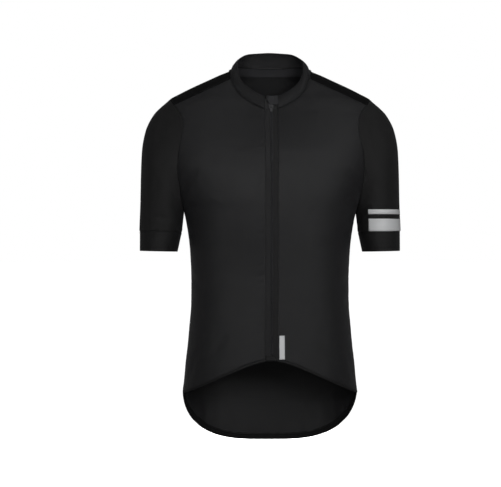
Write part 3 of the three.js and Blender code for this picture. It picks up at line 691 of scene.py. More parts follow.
# A darker copy of the zip tape for the wearer's left: painted shade on that tape
ZIP_TAPE_PAINTED_SHADE = ribbed("zip_tape_painted_shade", (0.0075, 0.0075, 0.0081), 0.6, 0.0008, 0.00006, 0.02, upright=False)
FILM_WHITE = beaded_film()
METAL = metal()
NECK_TAPE = ribbed("neck_tape", (0.03, 0.03, 0.033), 0.6, 0.0012, 0.0001, 0.05)
FACING = ribbed("neck_facing", (0.045, 0.045, 0.049), 0.65, 0.0012, 0.0001, 0.05)
# The coil is coloured lighter than the tapes: a painted highlight along the zip's raised middle
COIL_PAINTED_HIGHLIGHT, _ = new_material("zip_coil", (0.042, 0.042, 0.046), 0.5, 0.35)
THREAD, _ = new_material("thread", (0.012, 0.012, 0.0135), 0.5, 0.4, 0, 0.05)


# Meshes


def add_mesh(name, vertices, faces, material, body="root", uv=None, smooth=True):
    """A piece from vertices in millimetres, with the cloth's own place at each face corner."""
    mesh = bpy.data.meshes.new(name)
    mesh.from_pydata((np.asarray(vertices) * MM).tolist(), [], [list(face) for face in faces])
    if uv is not None:
        mesh.uv_layers.new(name="grain").data.foreach_set("uv", (uv * MM).ravel())
    mesh.polygons.foreach_set("use_smooth", [smooth] * len(mesh.polygons))
    mesh.materials.append(material)
    mesh.update()
    piece = bpy.data.objects.new(name, mesh)
    bpy.context.scene.collection.objects.link(piece)
    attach(piece, body)
    return piece


def near_path(points, path):
    """Distance from each point to a path, and the share of the path that is nearest."""
    gaps = np.linalg.norm(points[:, None, :] - path[None, :, :], axis=-1)
    nearest = gaps.argmin(1)
    return gaps[np.arange(len(points)), nearest], nearest / (len(path) - 1)


def crease_paths():
    """Every crease as a path on the garment, with its width and depth."""
    shares = np.linspace(0, 1, 40)
    bows = np.sin(math.pi * shares)
    found = []
    for turn, height, to_turn, to_height, bow, width, depth in zip(*BODY_CREASES.values()):
        turns = np.radians(lerp(turn, to_turn, shares) + 0.3 * bow * bows)
        places = np.stack([turns, lerp(height, to_height, shares) + bow * bows], -1)
        found.append((body_point(places), width, depth))
    for rows, side in ((LEFT_SLEEVE_CREASES, 1), (RIGHT_SLEEVE_CREASES, -1)):
        for angle, step, to_angle, to_step, bow, width, depth in zip(*rows.values()):
            angles = np.radians(lerp(angle, to_angle, shares) + bow * bows)
            path = sleeve_point(angles, lerp(step, to_step, shares)) * [side, 1, 1]
            found.append((path, width, depth))
    return found


CREASES = crease_paths()

# A crease is felt within this many of its widths. It starts weakly and fades to its other end.
CREASE_REACH = 3
CREASE_START = 0.12

# The armhole seams hold the cloth, so creases fade out within this distance of them
ARMHOLE_CALM = 14
armhole_angles = np.linspace(0, 2 * math.pi, 240)
left_armhole = body_point(armhole_place(armhole_angles))
ARMHOLE_LOOPS = (left_armhole, left_armhole * [-1, 1, 1])


def box_round(flat, path, margin):
    """Which points lie in the box round a path, with this margin."""
    low, high = path.min(0) - margin, path.max(0) + margin
    return np.flatnonzero(((flat > low) & (flat < high)).all(1))


def relief(points):
    """How far the creases push the cloth out at each point, in millimetres."""
    flat = points.reshape(-1, 3)
    pushed = np.zeros(len(flat))
    for path, width, depth in CREASES:
        near = box_round(flat, path, CREASE_REACH * width)
        if not len(near):
            continue
        gap, share = near_path(flat[near], path)
        ease = np.sin(math.pi * (CREASE_START + (1 - CREASE_START) * share)) ** 0.8
        across = (gap / width) ** 2
        pushed[near] -= depth * ease * (1 - 1.1 * across) * np.exp(-across)
    for loop in ARMHOLE_LOOPS:
        near = box_round(flat, loop, ARMHOLE_CALM)
        gap, _ = near_path(flat[near], loop)
        pushed[near] *= smooth_share(gap / ARMHOLE_CALM)
    return pushed.reshape(points.shape[:-1])


def arc_lengths(points, axis):
    steps = np.linalg.norm(np.diff(points, axis=axis), axis=-1)
    start = np.zeros_like(np.take(steps, [0], axis=axis))
    return np.cumsum(np.concatenate([start, steps], axis=axis), axis=axis)


# Puckers along a seam: their length, the slow change in them, and where they are highest
RIPPLE = 19
RIPPLE_CHANGE = 83
PUCKER_START = 3
PUCKER_PLACE = 4
PUCKER_REACH = 9
PUCKER_SHIFT = 2.1


def ripple(along, seed):
    """Uneven small waves along a seam."""
    slow = np.sin(2 * math.pi * along / RIPPLE_CHANGE + seed)
    return np.sin(2 * math.pi * along / RIPPLE + 1.7 * slow + seed) * (0.65 + 0.35 * slow)


def quads(ids, turned=False):
    faces = np.stack([ids[:-1, :-1], ids[:-1, 1:], ids[1:, 1:], ids[1:, :-1]], -1).reshape(-1, 4)
    return faces[:, ::-1] if turned else faces


def shell(node, surface, material, thickness=CLOTH, proud=0.0, closed=False, own_node=True,
          groove=GROOVE_DEPTH, pucker=(0, 0, 0, 0), seed=0.0, grain=None):
    """A thin closed wall in place of a node, on a grid of points, sunk a little along its sewn edges.

    Rows run up and columns across. The puckers are the height of the waves along the left, right,
    foot and head edges. A wall with no node of its own lies on points that already follow the
    creases. The grain is each point's place on the knit, where that isn't the way along the grid.
    """
    points, normals = surface
    if closed:
        points, normals = [np.concatenate([grid, grid[:, :1]], 1) for grid in surface]
    across, up = arc_lengths(points, 1), arc_lengths(points, 0)
    gaps = [across, across[:, -1:] - across, up, up[-1:] - up]
    edges = list(zip(gaps, [up, up, across, across], pucker))[2 if closed else 0:]
    nearest = np.min([gap for gap, _, _ in edges], axis=0)
    high = proud - groove * np.clip(1 - nearest / GROOVE_WIDTH, 0, 1) ** 2
    high = high + (relief(points) if own_node else 0)
    for i, (gap, along, height) in enumerate(edges):
        waves = ripple(along, seed + PUCKER_SHIFT * i) * smooth_share(gap / PUCKER_START)
        high = high + height * waves * np.exp(-((gap - PUCKER_PLACE) / PUCKER_REACH) ** 2)
    outside = points + normals * high[..., None]
    inside = outside - normals * thickness
    rows, columns = high.shape
    own = columns - 1 if closed else columns
    outer = np.arange(rows)[:, None] * own + np.arange(columns) % own
    inner = outer + rows * own
    layers = [(outer, False), (inner, True)]
    layers += [(np.stack([inner[0], outer[0]]), False), (np.stack([outer[-1], inner[-1]]), False)]
    if not closed:
        layers.append((np.stack([inner[:, 0], outer[:, 0]], 1), False))
        layers.append((np.stack([outer[:, -1], inner[:, -1]], 1), False))
    place = np.stack([across - across[:, -1:] / 2, up], -1) if grain is None else grain
    places = [place, place, np.stack([place[0]] * 2), np.stack([place[-1]] * 2)]
    places += [np.stack([place[:, 0]] * 2, 1), np.stack([place[:, -1]] * 2, 1)]
    faces = np.concatenate([quads(ids, turned) for ids, turned in layers])
    grids = [np.arange(grid[..., 0].size).reshape(grid.shape[:2]) for grid in places]
    uv = np.concatenate([
        grid.reshape(-1, 2)[quads(ids, turned)]
        for grid, ids, (_, turned) in zip(places, grids, layers)
    ])
    vertices = np.concatenate([outside[:, :own].reshape(-1, 3), inside[:, :own].reshape(-1, 3)])
    a, b, c = (vertices[faces[:, k]] for k in (0, 1, 2))
    if (a * np.cross(b, c)).sum() < 0:
        faces, uv = faces[:, ::-1], uv[:, ::-1]
    piece = add_mesh(f"{node}_shell", vertices, faces, material, uv=uv)
    if own_node:
        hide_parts(node)
    return piece


def surface_of(places):
    return body_point(places), body_normal(places)


def on_side(surface, side):
    """A surface or path of the wearer's left, or its mirror image for the right."""
    return surface if side == "left" else tuple(grid * [-1, 1, 1] for grid in surface)


def front_panel():
    """The left front and its hem binding, as surfaces."""
    bottom = front_hem_seam
    top = joined(front_neck, front_yoke_seam)
    heights = np.linspace(bottom[0, 1], top[0, 1], (SIDE + ARMHOLE) * EDGE_SAMPLES + 1)
    left = np.stack([turn_at(np.full_like(heights, ZIP_HALF_WIDTH), heights, "front"), heights], -1)
    right = joined(side_seam(bottom[-1]), front_armhole)
    u = finer_shares(path_length(body_point(bottom)), corners=[NECK / (NECK + YOKE)])
    v = finer_shares(path_length(body_point(right)), corners=[SIDE / (SIDE + ARMHOLE)])
    panel = surface_of(fill_patch(bottom, top, left, right, u, v))
    rows = np.array([0, 0.12, 0.5, 0.88, 1])[:, None, None]
    binding = surface_of(lerp(pick(front_hem, u), pick(bottom, u), rows))
    return panel, binding


def back_panel():
    bottom = tail_hem_seam
    top = joined(back_yoke_seam[::-1], back_neck, mirrored(back_yoke_seam))
    left = joined(side_seam(bottom[0]), back_armhole)
    cells = 2 * YOKE + BACK_NECK
    u = finer_shares(path_length(body_point(bottom)), corners=[YOKE / cells, 1 - YOKE / cells])
    v = finer_shares(path_length(body_point(left)), corners=[SIDE / (SIDE + ARMHOLE)])
    panel = surface_of(fill_patch(bottom, top, left, mirrored(left), u, v))
    rows = finer_shares(TAIL_BAND, 1.5)[:, None, None]
    band = surface_of(lerp(pick(tail_hem, u), pick(bottom, u), rows))
    return panel, band


def yoke_panel():
    u = finer_shares(path_length(body_point(front_yoke_seam)))
    v = finer_shares(path_length(body_point(yoke_armhole)))
    return surface_of(fill_patch(front_yoke_seam, back_yoke_seam, yoke_neck, yoke_armhole, u, v))


def tube(point, last, cells_round, steps):
    angles, step = np.meshgrid(np.linspace(0, 2 * math.pi, cells_round, endpoint=False), steps)
    return point(angles, step), surface_normal(point, angles, step, last)


# The knit's courses run level round a trunk of this radius, moved out, and fall with the depth
GRAIN_RADIUS = 140
GRAIN_DEPTH = 20
GRAIN_LEAN = -0.35


def body_grain(points):
    """Places on the knit of a body panel, whose courses run level round the trunk."""
    x, y, z = points[..., 0], points[..., 1], points[..., 2]
    round_it = GRAIN_RADIUS * np.arctan2(x, np.abs(y) + GRAIN_DEPTH)
    return np.stack([round_it, z + GRAIN_LEAN * np.abs(y)], -1)


def place_panels():
    """The body's panels, yokes, sleeves and bands."""
    panel, binding = front_panel()
    yoke = yoke_panel()
    sleeve = tube(sleeve_point, SLEEVE_LAST, 168, finer_shares(250)[::-1] * SLEEVE_LAST)
    cuff = tube(cuff_point, 1, 140, finer_shares(38, 2.4)[::-1])
    for side, seed in (("left", 0.0), ("right", 1.9)):
        own_panel = on_side(panel, side)
        shell(f"front_{side}", own_panel, BODY_KNIT, pucker=(0.35, 0.3, 0.2, 0.15),
              seed=seed, grain=body_grain(own_panel[0]))
        shell(f"hem_front_{side}", on_side(binding, side), BAND, proud=BAND_PROUD,
              groove=0.3)
        shell(f"yoke_{side}", on_side(yoke, side), YOKE_KNIT,
              pucker=(0.1, 0.15, 0.15, 0.15), seed=seed)
        shell(f"sleeve_{side}", on_side(sleeve, side), SLEEVE_KNIT, closed=True,
              pucker=(0, 0, 0.2, 0.25), seed=seed)
        shell(f"cuff_{side}", on_side(cuff, side), BAND, proud=0.2, closed=True,
              groove=0.35)
    panel, band = back_panel()
    shell("back", panel, BODY_KNIT, pucker=(0.3, 0.3, 0.25, 0.2), seed=4.0,
          grain=body_grain(panel[0]))
    # The tail's band takes the darker copy of the elastic: painted shade
    shell("hem_back", band, BAND_PAINTED_SHADE, proud=BAND_PROUD, groove=0.35)


def nearest_rows(levels, wanted):
    return [int(np.abs(levels - level).argmin()) for level in wanted]


def lifted_rows(surface, proud, rows):
    """Rows of a surface as paths for stitches, on top of cloth that is this proud."""
    points, normals = surface
    return [(points[row] + normals[row] * proud[row][:, None], normals[row], 0) for row in rows]


# The collar goes a little below its seam, swells between its edges and starts in a narrow dip
COLLAR_TUCK = 0.06
COLLAR_ROLL = 1.3
COLLAR_SET_IN = 0.4
COLLAR_STITCH_SHARES = (0.09, 0.88)
COLLAR_CELL = 2.6
COLLAR_SMOOTHING = 30
# Its ends keep their place for this long, and are smooth after as much more
COLLAR_END = 12
COLLAR_END_EASE = 25


def collar_surface(shares):
    """Rows of the collar from one end to the other, at each share of its height."""
    columns = finer_shares(path_length(body_point(whole_neck)), COLLAR_CELL)
    turn = pick(whole_neck, columns)[:, 0]
    turns, shares = np.meshgrid(turn, shares)
    points, normals = collar_point(turns, shares), collar_normal(turns, shares)
    along = arc_lengths(points, 1)
    from_end = np.minimum(along, along[:, -1:] - along)
    ease = smooth_share((from_end - COLLAR_END) / COLLAR_END_EASE) * np.clip(shares, 0, 1) ** 0.5
    even = points.copy()
    for _ in range(COLLAR_SMOOTHING):
        even[:, 1:-1] = 0.5 * even[:, 1:-1] + 0.25 * (even[:, 2:] + even[:, :-2])
    eased = lerp(points, even, ease[..., None])
    if len(eased) > 1:
        facing = unit(np.cross(np.gradient(eased, axis=1), np.gradient(eased, axis=0)))
        facing *= np.sign((facing * normals).sum(-1, keepdims=True))
        normals = unit(lerp(normals, facing, ease[..., None]))
    return eased, normals


def place_collar():
    """The stand collar, with its rim rounded by a folded edge, and its stitches."""
    shares = np.append(-COLLAR_TUCK, finer_shares(24, 1.8))
    surface = collar_surface(shares)
    roll = np.sin(math.pi * np.clip(shares, 0, 1)) ** 0.8
    proud = (COLLAR_ROLL * roll - COLLAR_SET_IN)[:, None] + np.zeros_like(surface[0][..., 0])
    shell("collar", surface, COLLAR_KNIT, thickness=COLLAR_CLOTH, pucker=(0, 0, 0.15, 0.12),
          proud=proud, groove=0.7, seed=0.6)
    rows = nearest_rows(shares, COLLAR_STITCH_SHARES)
    stitched("collar_stitches", lifted_rows(surface, proud, rows))


def tape_levels():
    heights = np.linspace(HEM_FRONT, NECK_FRONT, 190)
    return heights, finer_shares(24, 2.5)[1:-4]


def zip_surface(xs):
    """The strip of the front that the zip fills, up over the collar to the zip's top."""
    heights, shares = tape_levels()
    low, high = front_surface(xs, heights), front_surface(xs, shares[shares < ZIP_TOP], up_collar=True)
    return tuple(np.concatenate(pair) for pair in zip(low, high))


# Columns of a tape and of the tab over the zip's foot, as their x from the centre
TAPE_COLUMNS = (0.15, 0.6, 1.6, 2.6, 3.2, 5, 7, 9, 10.4, 11.4, ZIP_HALF_WIDTH - 0.1)
STOP_COLUMNS = (-11, -10, -8, -5, -2, 1, 4, 6, 7)


def place_zip():
    """Tapes, coil, bottom tab and the garage over the slider."""
    tape = zip_surface(TAPE_COLUMNS)
    # The wearer's left tape takes the darker copy of the tape: painted shade
    for side, weave in (("left", ZIP_TAPE_PAINTED_SHADE), ("right", ZIP_TAPE)):
        shell(f"zip_tape_{side}", on_side(tape, side), weave, thickness=TAPE,
              proud=-TAPE_SUNK, groove=0.2, pucker=(0, 0.15, 0, 0))
        place_teeth(side)
    stop = front_surface(STOP_COLUMNS, np.linspace(HEM_FRONT + 0.6, ZIP_STOP_TOP - 3, 8))
    shell("zip_stop", stop, BAND, thickness=0.9, proud=1.5, groove=0.5)
    place_garage()
    place_hardware()


# The garage's section across the zip, and how far down the collar each column of it reaches
GARAGE = table(
    "x proud foot",
    (-8.8, 2.4, 0.66),
    (-5.8, 4.6, 0.5),
    (-2.5, 5.1, 0.38),
    (2.5, 5.1, 0.34),
    (5.8, 4.7, 0.29),
    (9.8, 3.3, 0.27),
    (13.8, 2.3, 0.3),
)


def place_garage():
    """A folded tab on the left end of the collar, over the top of the slider."""
    x = lerp(GARAGE["x"][0], GARAGE["x"][-1], finer_shares(22.6, 1.5))
    foot = column_curve(GARAGE, "x", "foot")(x)
    level = lerp(foot, 1.03, finer_shares(16, 1.5)[:, None])
    xs = np.broadcast_to(x, level.shape)
    turn = turn_at(xs, np.full_like(xs, NECK_FRONT), "front")
    surface = collar_point(turn, level), collar_normal(turn, level)
    shell("zip_garage", surface, NECK_TAPE, proud=column_curve(GARAGE, "x", "proud")(xs),
          groove=0.5)


def place_hardware():
    """The slider and its pull keep their solids' shape, with softened edges."""
    for node, body, edge in (("zip_slider", "root", 0.25), ("zip_pull", "pull_tab", 0.22)):
        piece = frame["nodes"][node].copy()
        piece.data = piece.data.copy()
        piece.name = f"{node}_metal"
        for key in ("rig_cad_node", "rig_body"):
            del piece[key]
        piece.parent = None
        bpy.context.scene.collection.objects.link(piece)
        piece.data.materials.clear()
        piece.data.materials.append(METAL)
        weld = piece.modifiers.new("weld", "WELD")
        weld.merge_threshold = 0.01 * MM
        bevel = piece.modifiers.new("edges", "BEVEL")
        bevel.width = edge * MM
        bevel.segments = 2
        bevel.limit_method = "ANGLE"
        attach(piece, body)
        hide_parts(node)


# A loop of the coil: its length, width and height, and its middle's x and height over the front
TOOTH = (3.3, 0.85, 1.2)
TOOTH_X = 1.3
TOOTH_LIFT = 0.5


def place_teeth(side):
    """Half of the coil: one rounded loop for each tooth, between the slider and the bottom tab."""
    shift = 0 if side == "left" else TOOTH_PITCH / 2
    heights = np.arange(ZIP_STOP_TOP, SLIDER_FOOT, TOOTH_PITCH) + shift
    points, normals = on_side([grid[:, 0] for grid in front_surface([TOOTH_X], heights)], side)
    across = unit(np.cross(normals, [0, 0, 1]))
    centres = points + TOOTH_LIFT * normals
    # The coil's lighter colour is a painted highlight
    beads(f"zip_coil_{side}", centres, across, normals, TOOTH, COIL_PAINTED_HIGHLIGHT, sides=6)


def beads(name, centres, along, normals, size, material, sides=4):
    """Many small rounded bars in one piece, each a length along, a width across and a height up."""
    length, width, height = size
    stations = [(-0.5, 0.0), (-0.38, 0.8), (-0.12, 1.0), (0.12, 1.0), (0.38, 0.8), (0.5, 0.0)]
    if sides == 4:
        stations = [(-0.5, 0.0), (-0.28, 1.0), (0.28, 1.0), (0.5, 0.0)]
    round_it = np.arange(sides) * 2 * math.pi / sides
    rings = stations[1:-1]
    shape = [(stations[0][0] * length, 0, 0)]
    for at, full in rings:
        half_width, half_height = full * width / 2, full * height / 2
        shape += [(at * length, half_width * math.cos(a), half_height * math.sin(a)) for a in round_it]
    shape.append((stations[-1][0] * length, 0, 0))
    shape = np.array(shape)
    last = len(shape) - 1
    around = [(k, (k + 1) % sides) for k in range(sides)]
    faces = [(0, 1 + b, 1 + a) for a, b in around]
    for ring in range(len(rings) - 1):
        low, high = 1 + ring * sides, 1 + (ring + 1) * sides
        faces += [(low + a, low + b, high + b) for a, b in around]
        faces += [(low + a, high + b, high + a) for a, b in around]
    top = 1 + (len(rings) - 1) * sides
    faces += [(last, top + a, top + b) for a, b in around]
    faces = np.array(faces)
    along = unit(along)
    normals = unit(normals - along * (normals * along).sum(-1, keepdims=True))
    across = np.cross(normals, along)
    frame_axes = np.stack([along, across, normals], 1)
    vertices = centres[:, None] + np.einsum("kj,nji->nki", shape, frame_axes)
    numbered = faces[None] + np.arange(len(centres))[:, None, None] * len(shape)
    return add_mesh(name, vertices.reshape(-1, 3), numbered.reshape(-1, 3), material)


def resampled(points, normals, pitch):
    """The same path with points a pitch apart, and its directions and normals there."""
    lengths = distances(points)
    at = np.arange(pitch / 2, lengths[-1], pitch)
    places = np.stack([np.interp(at, lengths, points[:, k]) for k in range(3)], -1)
    facing = unit(np.stack([np.interp(at, lengths, normals[:, k]) for k in range(3)], -1))
    return places, unit(np.gradient(places, axis=0)), facing


# A stitch's length, width and height, and the distance from one to the next
STITCH = (2.1, 0.42, 0.34)
STITCH_PITCH = 2.7


def stitched(name, rows, lift=0.1, size=STITCH, pitch=STITCH_PITCH):
    """Rows of stitches in one piece. Each row is a path with its normals, and its offset sideways."""
    found = []
    for points, normals, offset in rows:
        points = points + normals * (relief(points) + lift)[..., None]
        places, along, facing = resampled(points, normals, pitch)
        found.append((places + offset * np.cross(facing, along), along, facing))
    centres, along, facing = (np.concatenate(parts) for parts in zip(*found))
    return beads(name, centres, along, facing, size, THREAD)


def ribbon(name, paths, width, height, material):
    """Low rounded bands along paths, such as overlocked seam allowances and tapes."""
    angles = np.linspace(0, math.pi, 7)
    section = np.stack([-np.cos(angles) * width / 2, np.sin(angles) * height], -1)
    vertices, faces = [], []
    for points, normals in paths:
        along = unit(np.gradient(points, axis=0))
        across = np.cross(normals, along)
        grid = points[:, None] + across[:, None] * section[:, :1] + normals[:, None] * section[:, 1:]
        ids = sum(map(len, vertices)) + np.arange(grid[..., 0].size).reshape(grid.shape[:2])
        faces += quads(np.concatenate([ids, ids[:, :1]], 1), True).tolist()
        for end, turned in ((ids[0], False), (ids[-1], True)):
            fan = [[end[0], end[k], end[k + 1]] for k in range(1, len(end) - 1)]
            faces += [face[::-1] if turned else face for face in fan]
        vertices.append(grid.reshape(-1, 3))
    return add_mesh(name, np.concatenate(vertices), faces, material)


def place_trim():
    """Reflective film: two hoops over the left sleeve and an upright strip by the zip's foot."""
    steps = np.linspace(0, SLEEVE_LAST, 400)
    angles = np.linspace(-HOOP_REACH * 0.93, HOOP_REACH * 0.93, 110)
    heights = np.stack([sleeve_point(np.full_like(steps, angle), steps)[:, 2] for angle in angles])
    for name, top, foot in (("hoop_narrow", -262, -271), ("hoop_wide", -279.5, -303)):
        levels = np.linspace(foot, top, 9 if name == "hoop_wide" else 5)
        found = np.stack([np.interp(-levels, -column, steps) for column in heights], 1)
        turned = np.broadcast_to(angles, found.shape)
        surface = sleeve_point(turned, found), surface_normal(sleeve_point, turned, found, SLEEVE_LAST)
        shell(name, surface, FILM_WHITE, thickness=FILM, proud=FILM + 0.05, groove=0.1)
    strip = front_surface(np.linspace(14, 24, 7), np.linspace(-540, -496, 16))
    shell("hem_strip", strip, FILM_WHITE, thickness=FILM, proud=FILM + 0.05, groove=0.1)


def pocket_column(x, share):
    """Places on the back at each x, from the pockets' foot to their mouth."""
    outward = np.abs(x) / POCKET_OUTER
    foot = POCKET_FOOT + POCKET_FOOT_RISE * outward**2
    slant = smooth_share((np.abs(x) - POCKET_DIVIDER) / POCKET_SLANT)
    mouth = POCKET_MOUTH - POCKET_MOUTH_DROP * slant
    height = lerp(foot, mouth, share)
    return np.stack([turn_at(np.broadcast_to(x, height.shape), height, "back"), height], -1)


def pocket_places(from_x, to_x):
    x = lerp(from_x, to_x, finer_shares(abs(to_x - from_x)))
    return pocket_column(x, finer_shares(150)[:, None])


# Where a pocket is drawn in below its mouth, by how much, and the gathers of its elastic
PINCH_START = 0.82
PINCH = 0.55
GATHER = 6.5
GATHER_HEIGHT = 0.35
SAG = 47
SAG_HEIGHT = 0.5
MOUTH_STITCH_DEPTHS = (2.5, 9.0)


def place_pockets():
    """Three pockets, full in the middle and held in at the mouth by an elastic edge."""
    bounds = {
        "pocket_left": (POCKET_OUTER, POCKET_DIVIDER),
        "pocket_centre": (POCKET_DIVIDER, -POCKET_DIVIDER),
        "pocket_right": (-POCKET_DIVIDER, -POCKET_OUTER),
    }
    for seed, (name, (from_x, to_x)) in enumerate(bounds.items()):
        surface = surface_of(pocket_places(from_x, to_x))
        across, up = arc_lengths(surface[0], 1), arc_lengths(surface[0], 0)
        share_across, share_up = across / across[:, -1:], up / up[-1:]
        full = np.sin(math.pi * share_across) ** 0.7 * smooth_share(share_up * 2.2)
        pinch = 1 - PINCH * smooth_share((share_up - PINCH_START) / (1 - PINCH_START))
        from_mouth = up[-1:] - up
        gathers = GATHER_HEIGHT * np.sin(2 * math.pi * across / GATHER + seed)
        gathers *= np.exp(-((from_mouth - 5) / 6) ** 2)
        sag = SAG_HEIGHT * np.sin(2 * math.pi * up / SAG + seed + across / 30) * full
        proud = CLOTH + 0.15 + POCKET_FULLNESS * full * pinch + gathers + sag
        shell(name, surface, BODY_KNIT, proud=proud, groove=0.3,
              pucker=(0.15, 0.15, 0.15, 0), seed=float(seed))
        rows = nearest_rows(from_mouth.mean(1), MOUTH_STITCH_DEPTHS)
        stitched(f"{name}_mouth_stitches", lifted_rows(surface, proud, rows))


# Each light: its name and place, what it points at, its width, height and spread, its power, and
# whether it makes gloss
LIGHTS = (
    ("key", (0.7, -3.0, 0.4), (0.03, 0, -0.13), (0.9, 1.0, 36), 1.45, True),
    ("fill", (-0.5, -3.1, 0.35), (-0.03, 0, -0.13), (0.9, 1.0, 36), 0.65, True),
    ("top", (0.1, -1.3, 1.5), (0, 0, -0.2), (1.2, 0.8, 180), 1.5, True),
    ("back_key", (-0.6, 2.9, 0.1), (-0.05, 0, -0.3), (1.0, 1.2, 180), 90, False),
    ("back_fill", (0.6, 2.9, 0.0), (0.05, 0, -0.3), (1.0, 1.2, 180), 50, False),
)


def aim(thing, place, target):
    """Put a light or camera in its place, pointing at a target."""
    thing.location = place
    thing.rotation_mode = "QUATERNION"
    thing.rotation_quaternion = (Vector(target) - Vector(place)).to_track_quat("-Z", "Y")
    bpy.context.scene.collection.objects.link(thing)


def place_light(name, place, target, size, power, gloss):
    data = bpy.data.lights.new(name, "AREA")
    data.shape = "RECTANGLE"
    data.size, data.size_y = size[:2]
    data.spread = math.radians(size[2])
    data.energy = power
    light = bpy.data.objects.new(name, data)
    light.visible_camera = False
    light.visible_glossy = gloss
    aim(light, place, target)


# Camera: level, a little to the wearer's right, so the mid line shows right of the picture's middle
CAMERA_PLACE = (-0.110, -3.498, -0.326)
CAMERA_AIM = (-0.037, 0, -0.326)
LENS = 132.4


def place_camera():
    data = bpy.data.cameras.new("camera")
    data.lens = LENS
    data.sensor_width = 36
    camera = bpy.data.objects.new("camera", data)
    aim(camera, CAMERA_PLACE, CAMERA_AIM)
    bpy.context.scene.camera = camera


FLOOR_HEIGHT = -0.98
FLOOR_REACH = 60
SURROUNDINGS = 0.11


def place_studio():
    """Pale floor and surroundings that don't light the cloth, and soft lights all round."""
    white, shader = new_material("floor_white", (0.9, 0.9, 0.9), 0.9, 0.1)
    shader.inputs["Emission Color"].default_value = (1, 1, 1, 1)
    shader.inputs["Emission Strength"].default_value = 1
    bpy.ops.mesh.primitive_circle_add(vertices=96, radius=FLOOR_REACH, fill_type="NGON",
                                      location=(0, 0, FLOOR_HEIGHT))
    floor = bpy.context.object
    floor.name = "floor"
    floor.data.materials.append(white)
    floor.visible_diffuse = False
    floor.visible_glossy = False
    world = bpy.data.worlds.new("studio")
    world.use_nodes = True
    nodes, links = world.node_tree.nodes, world.node_tree.links
    strength = nodes.new("ShaderNodeMapRange")
    strength.inputs["To Min"].default_value = SURROUNDINGS
    strength.inputs["To Max"].default_value = 1
    links.new(nodes.new("ShaderNodeLightPath").outputs["Is Camera Ray"], strength.inputs["Value"])
    nodes["Background"].inputs["Color"].default_value = (1, 1, 1, 1)
    links.new(strength.outputs[0], nodes["Background"].inputs["Strength"])
    bpy.context.scene.world = world
    bpy.context.scene.view_settings.view_transform = "Standard"
    for light in LIGHTS:
        place_light(*light)


def on_sleeve(point, step, last, side):
    """A ring round a sleeve or cuff as a path."""
    angles = np.linspace(0, 2 * math.pi, 200)
    steps = np.full_like(angles, step)
    return on_side((point(angles, steps), surface_normal(point, angles, steps, last)), side)


def reversed_normals(path, depth):
    """The same path on the inner face of a wall."""
    points, normals = path
    return points + normals * (relief(points) - depth)[:, None], -normals


def sparse(edge, step=60):
    """An edge's surface path at every so many of its samples."""
    keep = np.unique(np.append(np.arange(0, len(edge), step), len(edge) - 1))
    return surface_of(edge[keep])


def seam_paths():
    """Every seam of the body by name, as points and normals."""
    armhole = evenly(armhole_place, 0, 2 * math.pi, 20)
    left = {
        "side": sparse(side_seam(front_hem_seam[-1])),
        "armhole": sparse(armhole, 30),
        "yoke_front": sparse(front_yoke_seam),
        "yoke_back": sparse(back_yoke_seam),
    }
    sides = ("left", "right")
    return {f"{name}_{side}": on_side(path, side) for name, path in left.items() for side in sides}


# Every so many samples of the neck seam, and how far its stitches lie below it
NECK_STEP = 40
NECK_STITCH_OFFSET = 3.0


def neck_path():
    """The neck seam as the collar's lower edge, with its normals."""
    turn = whole_neck[::NECK_STEP, 0]
    level = np.zeros_like(turn)
    return collar_point(turn, level), collar_normal(turn, level)


SEAM_STITCH_OFFSET = 2.2


def place_sewing():
    """Overlocked allowances inside every seam, and rows of stitches along them outside."""
    seams = seam_paths()
    for side in ("left", "right"):
        own = {name: path for name, path in seams.items() if name.endswith(side)}
        inner = [reversed_normals(path, CLOTH * 0.7) for path in own.values()]
        ribbon(f"seam_allowances_{side}", inner, 5, 0.9, BAND)
        offsets = (-SEAM_STITCH_OFFSET, SEAM_STITCH_OFFSET)
        rows = [(*path, offset) for path in own.values() for offset in offsets]
        stitched(f"seam_stitches_{side}", rows)
        cuff = on_sleeve(sleeve_point, SLEEVE_LAST, SLEEVE_LAST, side)
        ribbon(f"cuff_allowance_{side}", [reversed_normals(cuff, CLOTH * 1.2)], 5, 1.0, BAND)
        stitched(f"cuff_stitches_{side}", [(*cuff, -2.4), (*cuff, -4.2)])
        hem = on_side(sparse(front_hem_seam), side)
        stitched(f"hem_front_stitches_{side}", [(*hem, 1.5), (*hem, -2.0)], lift=0.25)
    tail = sparse(tail_hem_seam)
    stitched("hem_back_stitches", [(*tail, 1.6), (*tail, -1.6)], lift=0.3)
    # Its allowance takes the same darker copy of the elastic: painted shade
    ribbon("hem_back_allowance", [reversed_normals(tail, CLOTH * 0.7)], 5, 0.6, BAND_PAINTED_SHADE)
    inner_tail = reversed_normals(tail, CLOTH + 0.1)
    stitched("hem_back_inner_stitches", [(*inner_tail, 3.4), (*inner_tail, -3.4)])


NECK_FACING_WIDTH = 20


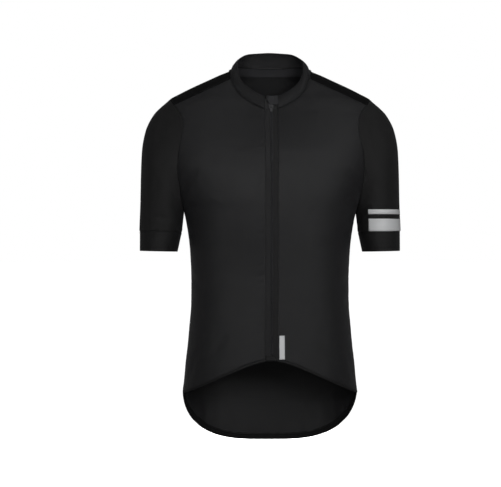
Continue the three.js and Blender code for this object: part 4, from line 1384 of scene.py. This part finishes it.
def neck_facing():
    """The strip that covers the collar's seam inside, over the yokes and the back."""
    seam = joined(yoke_neck, back_neck, mirrored(yoke_neck)[::-1])
    top = pick(seam, finer_shares(path_length(body_point(seam)), 3)) + [0, 0.6]
    probe = 4.0
    slope = np.linalg.norm(body_point(top) - body_point(top - [0, probe]), axis=-1) / probe
    drop = finer_shares(NECK_FACING_WIDTH, 2)[:, None] * NECK_FACING_WIDTH / slope
    places = top - np.stack([np.zeros_like(drop), drop], -1)
    points, normals = surface_of(places)
    return points + normals * (relief(points) - CLOTH - 0.15)[..., None], -normals


def place_neck_sewing():
    """The stitches round the neck, and the facing that covers its seam inside."""
    stitched("neck_stitches", [(*surface_of(whole_neck[::NECK_STEP]), NECK_STITCH_OFFSET)])
    facing = neck_facing()
    shell("neck_facing", facing, FACING, thickness=0.6, proud=0.6, own_node=False,
          groove=0.3)
    points, normals = facing
    rows = [(points[k] + normals[k] * 0.6, normals[k], 0) for k in (1, len(points) - 2)]
    stitched("neck_facing_stitches", rows)
    points, normals = neck_path()
    ribbon("neck_allowance", [(points - normals * 1.9, -normals)], 4, 0.4, BAND)


def tail_lines():
    """Where the pockets are sewn to the back, as paths on the body."""
    heights = np.linspace(0, 1, 60)
    xs = (-POCKET_OUTER, -POCKET_DIVIDER, POCKET_DIVIDER, POCKET_OUTER)
    lines = [pocket_column(np.full_like(heights, x), heights) for x in xs]
    x = np.linspace(-POCKET_OUTER, POCKET_OUTER, 120)
    lines.append(pocket_column(x, np.zeros_like(x)))
    return [surface_of(line) for line in lines]


def place_pocket_sewing():
    """Stitches that hold the pockets, outside on the cloth and inside on the back."""
    lines = tail_lines()
    outside = [(points + normals * (CLOTH + 0.1), normals, offset)
               for points, normals in lines for offset in (-1.8, 1.8)]
    stitched("pocket_stitches", outside)
    inside = [reversed_normals(line, CLOTH) for line in lines]
    stitched("pocket_inner_stitches", [(*line, offset) for line in inside for offset in (-1.8, 1.8)],
             lift=0.05)


place_camera()
place_panels()
place_collar()
place_zip()
place_trim()
place_pockets()
place_sewing()
place_neck_sewing()
place_pocket_sewing()
place_studio()
